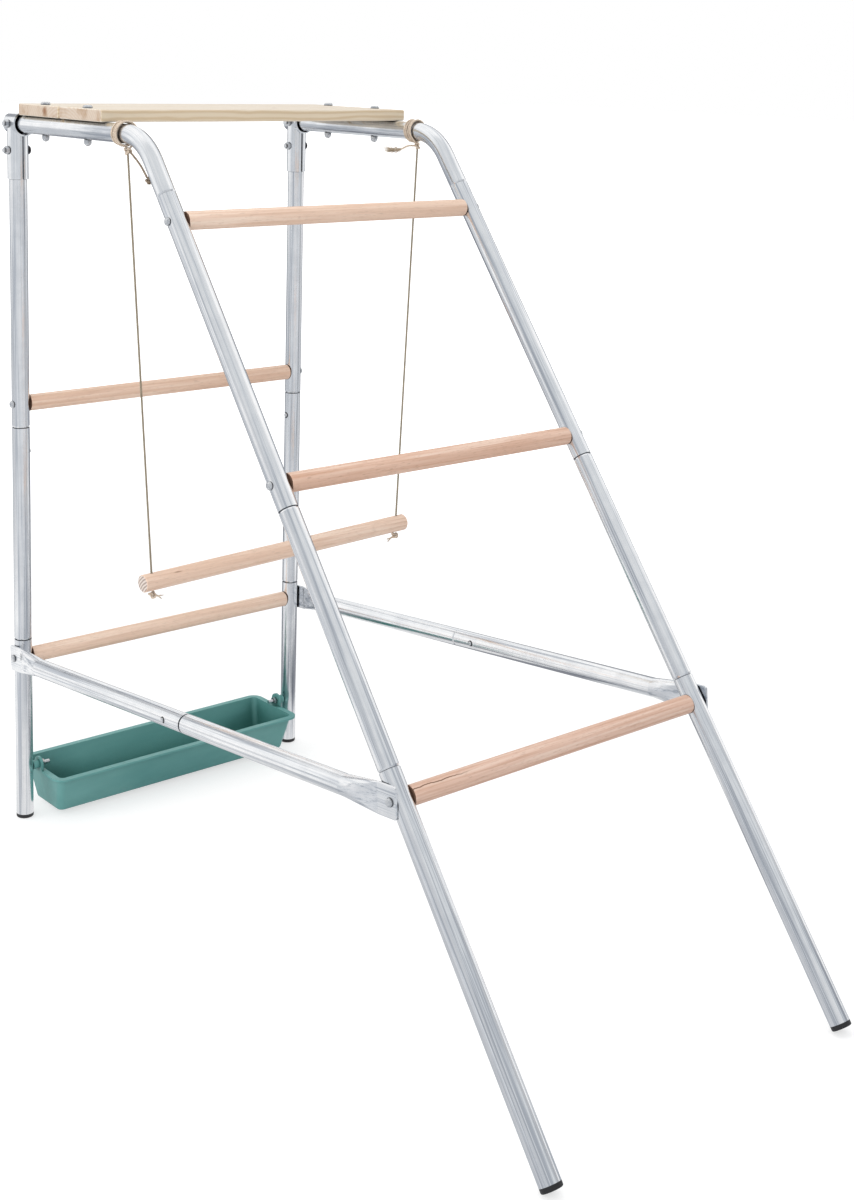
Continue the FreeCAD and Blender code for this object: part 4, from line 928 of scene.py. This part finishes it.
class Yarn:
    """Collects swept tubes and turns them into one mesh piece."""

    def __init__(self):
        self.points = []
        self.faces = []
        self.lays = []

    def tube(self, line, radii, sides):
        """A closed tube along a line, with a radius at each point."""
        base = len(self.points)
        run = 0.0
        for index, (place, cross) in enumerate(zip(line, turned_frames(line))):
            if index:
                run += (place - line[index - 1]).length
            for corner in range(sides):
                away = around(cross, FULL_TURN * corner / sides)
                self.points.append(place + away * radii[index])
                self.lays.append((run / MILLIMETRE, corner / sides))
        for ring in range(len(line) - 1):
            self.faces += ring_faces(base + ring * sides, sides)
        top = base + (len(line) - 1) * sides
        self.faces.append(tuple(range(base + sides - 1, base - 1, -1)))
        self.faces.append(tuple(range(top, top + sides)))

    def laid(self, line):
        """Three strands laid round a line."""
        strands = [[] for _ in range(STRANDS)]
        run = 0.0
        for index, (place, cross) in enumerate(zip(line, turned_frames(line))):
            if index:
                run += (place - line[index - 1]).length
            for number, strand in enumerate(strands):
                away = around(cross, FULL_TURN * (run / LAY + number / STRANDS))
                strand.append(place + away * STRAND_OFFSET)
        for strand in strands:
            self.tube(strand, [STRAND_RADIUS] * len(strand), STRAND_SIDES)

    def fibre(self, start, way, length, curl, chance, thick=FIBRE_THICK):
        """One loose fibre that tapers and curls."""
        line = [start]
        heading = way.normalized()
        for _ in range(FIBRE_STEPS):
            heading = (heading + scatter(chance, curl)).normalized()
            line.append(line[-1] + heading * (length / FIBRE_STEPS))
        radii = [thick * (1 - FIBRE_TAPER * index / FIBRE_STEPS) for index in range(FIBRE_STEPS + 1)]
        self.tube(line, radii, FIBRE_SIDES)

    def fuzz(self, line, spacing, length, chance):
        """Loose fibres that stand off a rope's skin."""
        frames = turned_frames(line)
        count = int((len(line) - 2) * (line[1] - line[0]).length / spacing)
        for _ in range(count):
            index = chance.randrange(1, len(line) - 1)
            away = around(frames[index], chance.uniform(0, FULL_TURN))
            along = (line[index + 1] - line[index - 1]).normalized() * chance.choice((-1, 1))
            way = away * chance.uniform(*FUZZ_LIFT) + along
            reach = length * chance.uniform(*FUZZ_REACH)
            self.fibre(line[index] + away * SKIN, way, reach, FUZZ_CURL, chance)

    def piece(self, name, finish, body, nodes=()):
        """The mesh object, riding on a body in place of these nodes."""
        mesh = bpy.data.meshes.new(name)
        mesh.from_pydata(self.points, [], self.faces)
        layer = mesh.uv_layers.new(name="lay")
        for loop in mesh.loops:
            layer.data[loop.index].uv = self.lays[loop.vertex_index]
        for polygon in mesh.polygons:
            polygon.use_smooth = len(polygon.vertices) == 4
        mesh.materials.append(finish)
        made = add_object(name, mesh)
        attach(made, body)
        if nodes:
            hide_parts(*nodes)
        return made


def tangle(centre, size, axis, turn):
    """The closed line of a tight overhand knot, about size across."""
    unit = (0.5 * size - 0.5 * ROPE) / TANGLE_REACH
    up = axis.normalized()
    side = up.orthogonal().normalized()
    side = (Matrix.Rotation(turn, 3, up) @ side).normalized()
    other = up.cross(side)
    line = []
    for index in range(TANGLE_POINTS + 1):
        angle = FULL_TURN * index / TANGLE_POINTS
        first = math.sin(angle) + 2 * math.sin(2 * angle)
        second = math.cos(angle) - 2 * math.cos(2 * angle)
        rise = -TANGLE_RISE * math.sin(3 * angle)
        line.append(centre + (side * first + other * second + up * rise) * unit)
    return line


def tie_centre(sign):
    """The middle of the knot under a top tube."""
    return Vector((sign * FRAME_X, TIE_Y, TIE_Z))


def tail_points(sign, route):
    """A tail's control points; its route is in millimetres from the knot."""
    return [tie_centre(sign) + Vector(step) * MILLIMETRE for step in route]


def winding_line(sign):
    """The turns round the top tube, from the tucked end to the knot."""
    leave = FULL_TURN * (WRAP_COUNT + 1) - math.acos(WRAP_RADIUS / WRAP_REACH)
    count = int(WRAP_POINTS * leave / FULL_TURN)
    points = []
    for index in range(count + 1):
        angle = leave * index / count
        reach = WRAP_RADIUS + WRAP_SLACK * math.sin(WRAP_WANDER * angle) ** 2
        sway = WRAP_SWAY * math.sin(2 * WRAP_WANDER * angle)
        across = sign * (FRAME_X + reach * math.sin(angle))
        along = TIE_Y + (leave - angle) * WRAP_PITCH / FULL_TURN + sway
        points.append(Vector((across, along, TUBE_Z - reach * math.cos(angle))))
    stub = points[0] - (points[1] - points[0]).normalized() * WRAP_STUB
    return [stub] + points + [tie_centre(sign)]


def bar_direction():
    """The way the swing's bar points, from its left end to its right."""
    level = math.cos(BAR_TILT)
    return Vector((level * math.cos(BAR_YAW), level * math.sin(BAR_YAW), math.sin(BAR_TILT)))


def swing_rope_ends(sign):
    """Where a hanging rope starts in its knot, where it ends under the bar, and its direction."""
    top = tie_centre(sign)
    hole = BAR_CENTRE + bar_direction() * (sign * BAR_ROPE_AT)
    way = (hole - top).normalized()
    return top, hole + way * ROPE_PAST_BAR, way


def add_winding(side, sign, finish, chance):
    """The turns round the tube and the knot under it."""
    yarn = Yarn()
    line = even(spline_line(winding_line(sign)), ROPE_STEP)
    yarn.laid(line)
    yarn.fuzz(line, *WINDING_FUZZ, chance)
    yarn.piece(f"{side}_winding", finish, "frame", [f"{side}_rope_wrap"])
    knot = Yarn()
    centre = tie_centre(sign)
    loop = even(tangle(centre, TIE_SIZE, Vector((sign, *TIE_AXIS)), TIE_TURN), ROPE_STEP)
    knot.laid(loop)
    knot.laid(even([centre, tail_points(sign, TAILS[sign])[0]], ROPE_STEP))
    knot.fuzz(loop, *KNOT_FUZZ, chance)
    knot.piece(f"{side}_tie", finish, "frame", [f"{side}_rope_knot"])


def add_left_tail(finish, chance):
    """The left free end: it hangs forward from the tie and ends in its own knot."""
    line = even(spline_line(tail_points(-1, LEFT_TAIL), TAIL_RESOLUTION), ROPE_STEP)
    rope = Yarn()
    rope.laid(line)
    tail = rope.piece("left_tail", finish, "frame", ["left_rope_tail"])
    way = (line[-1] - line[-2]).normalized()
    knot = Yarn()
    centre = line[-1] + way * TAIL_KNOT_GAP
    loop = even(tangle(centre, TAIL_KNOT_SIZE, TAIL_KNOT_AXIS, TAIL_KNOT_TURN), ROPE_STEP)
    knot.laid(loop)
    knot.fuzz(loop, *KNOT_FUZZ, chance)
    start = centre + way * BRUSH_PAST_KNOT
    for _ in range(BRUSH_FIBRES):
        spread = scatter(chance, BRUSH_SPREAD)
        length = chance.uniform(*BRUSH_LENGTHS) * MILLIMETRE
        knot.fibre(start, way + spread, length, BRUSH_CURL, chance)
    end = knot.piece("left_tail_end", finish, "frame", ["left_tail_knot"])


def add_right_tail(finish, pale, chance):
    """The right free end: it drops back from the tie and frays into a tuft."""
    line = even(spline_line(tail_points(1, RIGHT_TAIL), TAIL_RESOLUTION), ROPE_STEP)
    rope = Yarn()
    rope.laid(line)
    tail = rope.piece("right_tail", finish, "frame", ["right_rope_tail"])
    tuft = Yarn()
    first = len(line) // 2
    for _ in range(TUFT_FIBRES):
        index = chance.randrange(first, len(line) - 1)
        way = (line[index + 1] - line[index]).normalized()
        spread = scatter(chance, TUFT_SPREAD)
        start = line[index] + spread * TUFT_WIDTH
        length = chance.uniform(*TUFT_LENGTHS) * MILLIMETRE
        tuft.fibre(start, way + spread, length, TUFT_CURL, chance, TUFT_THICK)
    fray = tuft.piece("right_tail_fray", pale, "frame")


def add_swing_rope(side, sign, finish, pale, chance):
    """A taut hanging rope and the stopper knot that holds the bar up."""
    top, end, way = swing_rope_ends(sign)
    rope = Yarn()
    line = even([top, end], ROPE_STEP)
    rope.laid(line)
    rope.fuzz(line, *HANGING_FUZZ, chance)
    rope.piece(f"{side}_hanging_rope", finish, "swing", [f"{side}_swing_rope"])
    knot = Yarn()
    centre = end + way * STOPPER_PAST_END
    loop = even(tangle(centre, STOPPER_SIZE, STOPPER_AXIS, STOPPER_TURN * sign), ROPE_STEP)
    knot.laid(loop)
    knot.fuzz(loop, *KNOT_FUZZ, chance)
    away = Vector((-sign, 0, -STOPPER_DROP)).normalized()
    stub = even([centre, centre + away * (STOPPER_FORK * STOPPER_STUB)], ROPE_STEP)
    knot.laid(stub)
    for lean in STOPPER_LEANS:
        add_split_end(knot, stub[-1], away + Vector((0, 0, lean)), chance)
    knot.piece(f"{side}_stopper", pale, "swing", [f"{side}_stopper_knot"])


def add_split_end(yarn, start, branch, chance):
    """One strand of a stopper's split end, with a brush of fibres at its tip."""
    tip = start + branch.normalized() * ((1 - STOPPER_FORK) * STOPPER_STUB)
    strand = even([start, tip], ROPE_STEP)
    yarn.tube(strand, [STOPPER_SWELL * STRAND_RADIUS] * len(strand), STRAND_SIDES)
    for _ in range(SPLIT_FIBRES):
        spread = scatter(chance, SPLIT_SPREAD)
        length = chance.uniform(*SPLIT_LENGTHS) * MILLIMETRE
        root = strand[-1] + spread * SPLIT_WIDTH
        yarn.fibre(root, branch + spread, length, BRUSH_CURL, chance, SPLIT_THICK)


def add_ropes():
    """All rope pieces of the swing."""
    finishes = {name: jute(name, tones) for name, tones in JUTES.items()}
    tan = finishes["jute_tan"]
    chance = random.Random(CHANCE_SEED)
    for side, sign in SIDES.items():
        add_winding(side, sign, tan, chance)
        add_swing_rope(side, sign, finishes["jute_grey"], tan, chance)
    add_left_tail(finishes["jute_brown"], chance)
    add_right_tail(tan, finishes["jute_pale"], chance)


# Floor, world and lamps: distances on the floor in metres, turns from the way the camera faces
FLOOR_SIZE = 60.0
FLOOR_LEVEL = -0.0004
FLOOR_PALE = colour(0.80, 0.80, 0.80)
FLOOR_SHADED = colour(0.46, 0.46, 0.46)
GLOW_RANGE = (1.2, 3.0)
GLOW_NEAR = 0.62
# Painted shadow under the object, as metal sees the floor: its reach and strength
DISC_PAINTED_SHADOW_RANGE = (0.5, 0.95)
DISC_PAINTED_SHADOW = 0.3
FAR_FLOOR = colour(0.60, 0.62, 0.65)
FAR_FLOOR_RANGE = (1.3, 2.3)
HORIZON_RANGE = (6.0, 14.0)
FRONT_LOW = colour(0.57, 0.59, 0.62)
FRONT_HIGH = colour(0.71, 0.73, 0.75)
FRONT_FLOOR = colour(0.70, 0.72, 0.75)
FRONT_RISE = (math.sin(math.radians(14)), math.sin(math.radians(34)))
LEFT_GREYING = (math.radians(95), math.radians(125))
RIGHT_GREYING = (math.radians(70), math.radians(105))
DARK_STRIP = colour(0.26, 0.27, 0.30)
STRIPS = ((-46, -28, 1.0), (4, 32, 1.0), (78, 97, 0.6))
STRIP_SOFT = math.radians(6)
STRIP_TOP = (math.sin(math.radians(26)), math.sin(math.radians(36)))
LAMPS = {
    "overhead": {"place": (-0.3, 0.3, 3.2), "target": (0, 0.1, 0.5), "size": 1.8, "power": 16.0},
    "key": {"place": (-2.4, -1.8, 1.9), "target": (0, 0.1, 0.6), "size": 1.8, "power": 33.0},
    "left": {"place": (-1.9, 0.9, 1.0), "target": (0, 0.5, 0.35), "size": 1.2, "power": 9.0},
}


def room_tone(graph, way, behind, front_low):
    """The room in a direction: as given behind the object, grey in front, with dark upright strips."""
    look = look_direction()
    level = Vector((look.x, look.y, 0)).normalized()
    beside = Vector((level.y, -level.x, 0))
    toward = graph.vector("DOT_PRODUCT", way, level)
    across = graph.vector("DOT_PRODUCT", way, beside)
    turn = graph.math("ARCTAN2", across, toward)
    left = graph.spread(graph.math("MULTIPLY", turn, -1.0), *LEFT_GREYING)
    right = graph.spread(turn, *RIGHT_GREYING)
    rise = graph.parts(way)[2]
    front = graph.mix(graph.spread(rise, *FRONT_RISE), front_low, FRONT_HIGH)
    room = graph.mix(graph.math("MAXIMUM", left, right), behind, front)
    below_top = graph.spread(rise, *STRIP_TOP, *FALLING)
    for start, end, strength in STRIPS:
        begun = graph.spread(turn, math.radians(start) - STRIP_SOFT, math.radians(start))
        ended = graph.spread(turn, math.radians(end), math.radians(end) + STRIP_SOFT)
        strip = graph.math("MULTIPLY", graph.math("SUBTRACT", begun, ended), below_top)
        room = graph.mix(graph.math("MULTIPLY", strip, strength), room, DARK_STRIP)
    return room


def mirrored_floor(graph, point, far):
    """What metal shows of the floor: the room's tone, with a painted shadow under the object."""
    behind = graph.mix(graph.spread(far, *FAR_FLOOR_RANGE), WHITE, FAR_FLOOR)
    behind = graph.mix(graph.spread(far, *HORIZON_RANGE), behind, WHITE)
    # Painted shadow: a dark disc under the object, seen only in reflections
    under = graph.spread(far, *DISC_PAINTED_SHADOW_RANGE, DISC_PAINTED_SHADOW, 0.0)
    return graph.mix(under, room_tone(graph, point, behind, FRONT_FLOOR), DARK_STRIP)


def floor_finish():
    """White to the camera apart from the object's shadow, and the room's tone to what mirrors it."""
    made = bpy.data.materials.new("floor")
    made.use_nodes = True
    tree = made.node_tree
    tree.nodes.remove(tree.nodes["Principled BSDF"])
    graph = Graph(tree)
    path = graph.add("ShaderNodeLightPath").outputs
    mirrored = graph.math("MAXIMUM", path["Is Glossy Ray"], path["Is Transmission Ray"])
    seen = graph.math("MAXIMUM", path["Is Camera Ray"], mirrored)
    point = graph.coordinates()
    far = graph.vector("LENGTH", point)
    fade = graph.math("MAXIMUM", graph.spread(far, *GLOW_RANGE, GLOW_NEAR, 1.0), mirrored)
    glow = graph.add("ShaderNodeEmission")
    graph.put(glow.inputs["Color"], graph.mix(mirrored, WHITE, mirrored_floor(graph, point, far)))
    graph.put(glow.inputs["Strength"], graph.math("MULTIPLY", seen, fade))
    matt = graph.add("ShaderNodeBsdfDiffuse")
    pale = graph.mix(path["Is Camera Ray"], FLOOR_PALE, FLOOR_SHADED)
    graph.put(matt.inputs["Color"], graph.mix(mirrored, pale, BLACK))
    both = graph.add("ShaderNodeAddShader", {0: matt.outputs[0], 1: glow.outputs[0]})
    graph.put(tree.nodes["Material Output"].inputs["Surface"], both.outputs[0])
    return made


def add_floor():
    """A wide pale floor just under the feet."""
    half = 0.5 * FLOOR_SIZE
    corners = []
    for across, along in ((-half, -half), (half, -half), (half, half), (-half, half)):
        corners.append((across, along, FLOOR_LEVEL))
    mesh = bpy.data.meshes.new("floor")
    mesh.from_pydata(corners, [], [(0, 1, 2, 3)])
    mesh.materials.append(floor_finish())
    floor = add_object("floor", mesh)


def add_world():
    """White to the camera; to all else a room, pale behind the object and grey in front of it."""
    world = bpy.data.worlds.new("studio")
    bpy.context.scene.world = world
    world.use_nodes = True
    tree = world.node_tree
    graph = Graph(tree)
    room = room_tone(graph, graph.coordinates("Generated"), WHITE, FRONT_LOW)
    seen = graph.add("ShaderNodeLightPath").outputs["Is Camera Ray"]
    graph.put(tree.nodes["Background"].inputs["Color"], graph.mix(seen, room, WHITE))


def add_lamp(name, place, target, size, power):
    """A soft lamp that lights the object without its own mirror image."""
    data = bpy.data.lights.new(name, "AREA")
    data.shape = "SQUARE"
    data.size = size
    data.energy = power
    lamp = add_object(name, data)
    way = Vector(target) - Vector(place)
    lamp.matrix_world = Matrix.Translation(place) @ way.to_track_quat("-Z", "Y").to_matrix().to_4x4()
    lamp.visible_glossy = False


def add_light():
    """The world and the lamps."""
    add_world()
    for name, values in LAMPS.items():
        add_lamp(name, **values)


add_camera()
add_ropes()
add_springs()
dress_nodes()
add_floor()
add_light()
bpy.context.scene.view_settings.view_transform = "Standard"
bpy.context.view_layer.update()
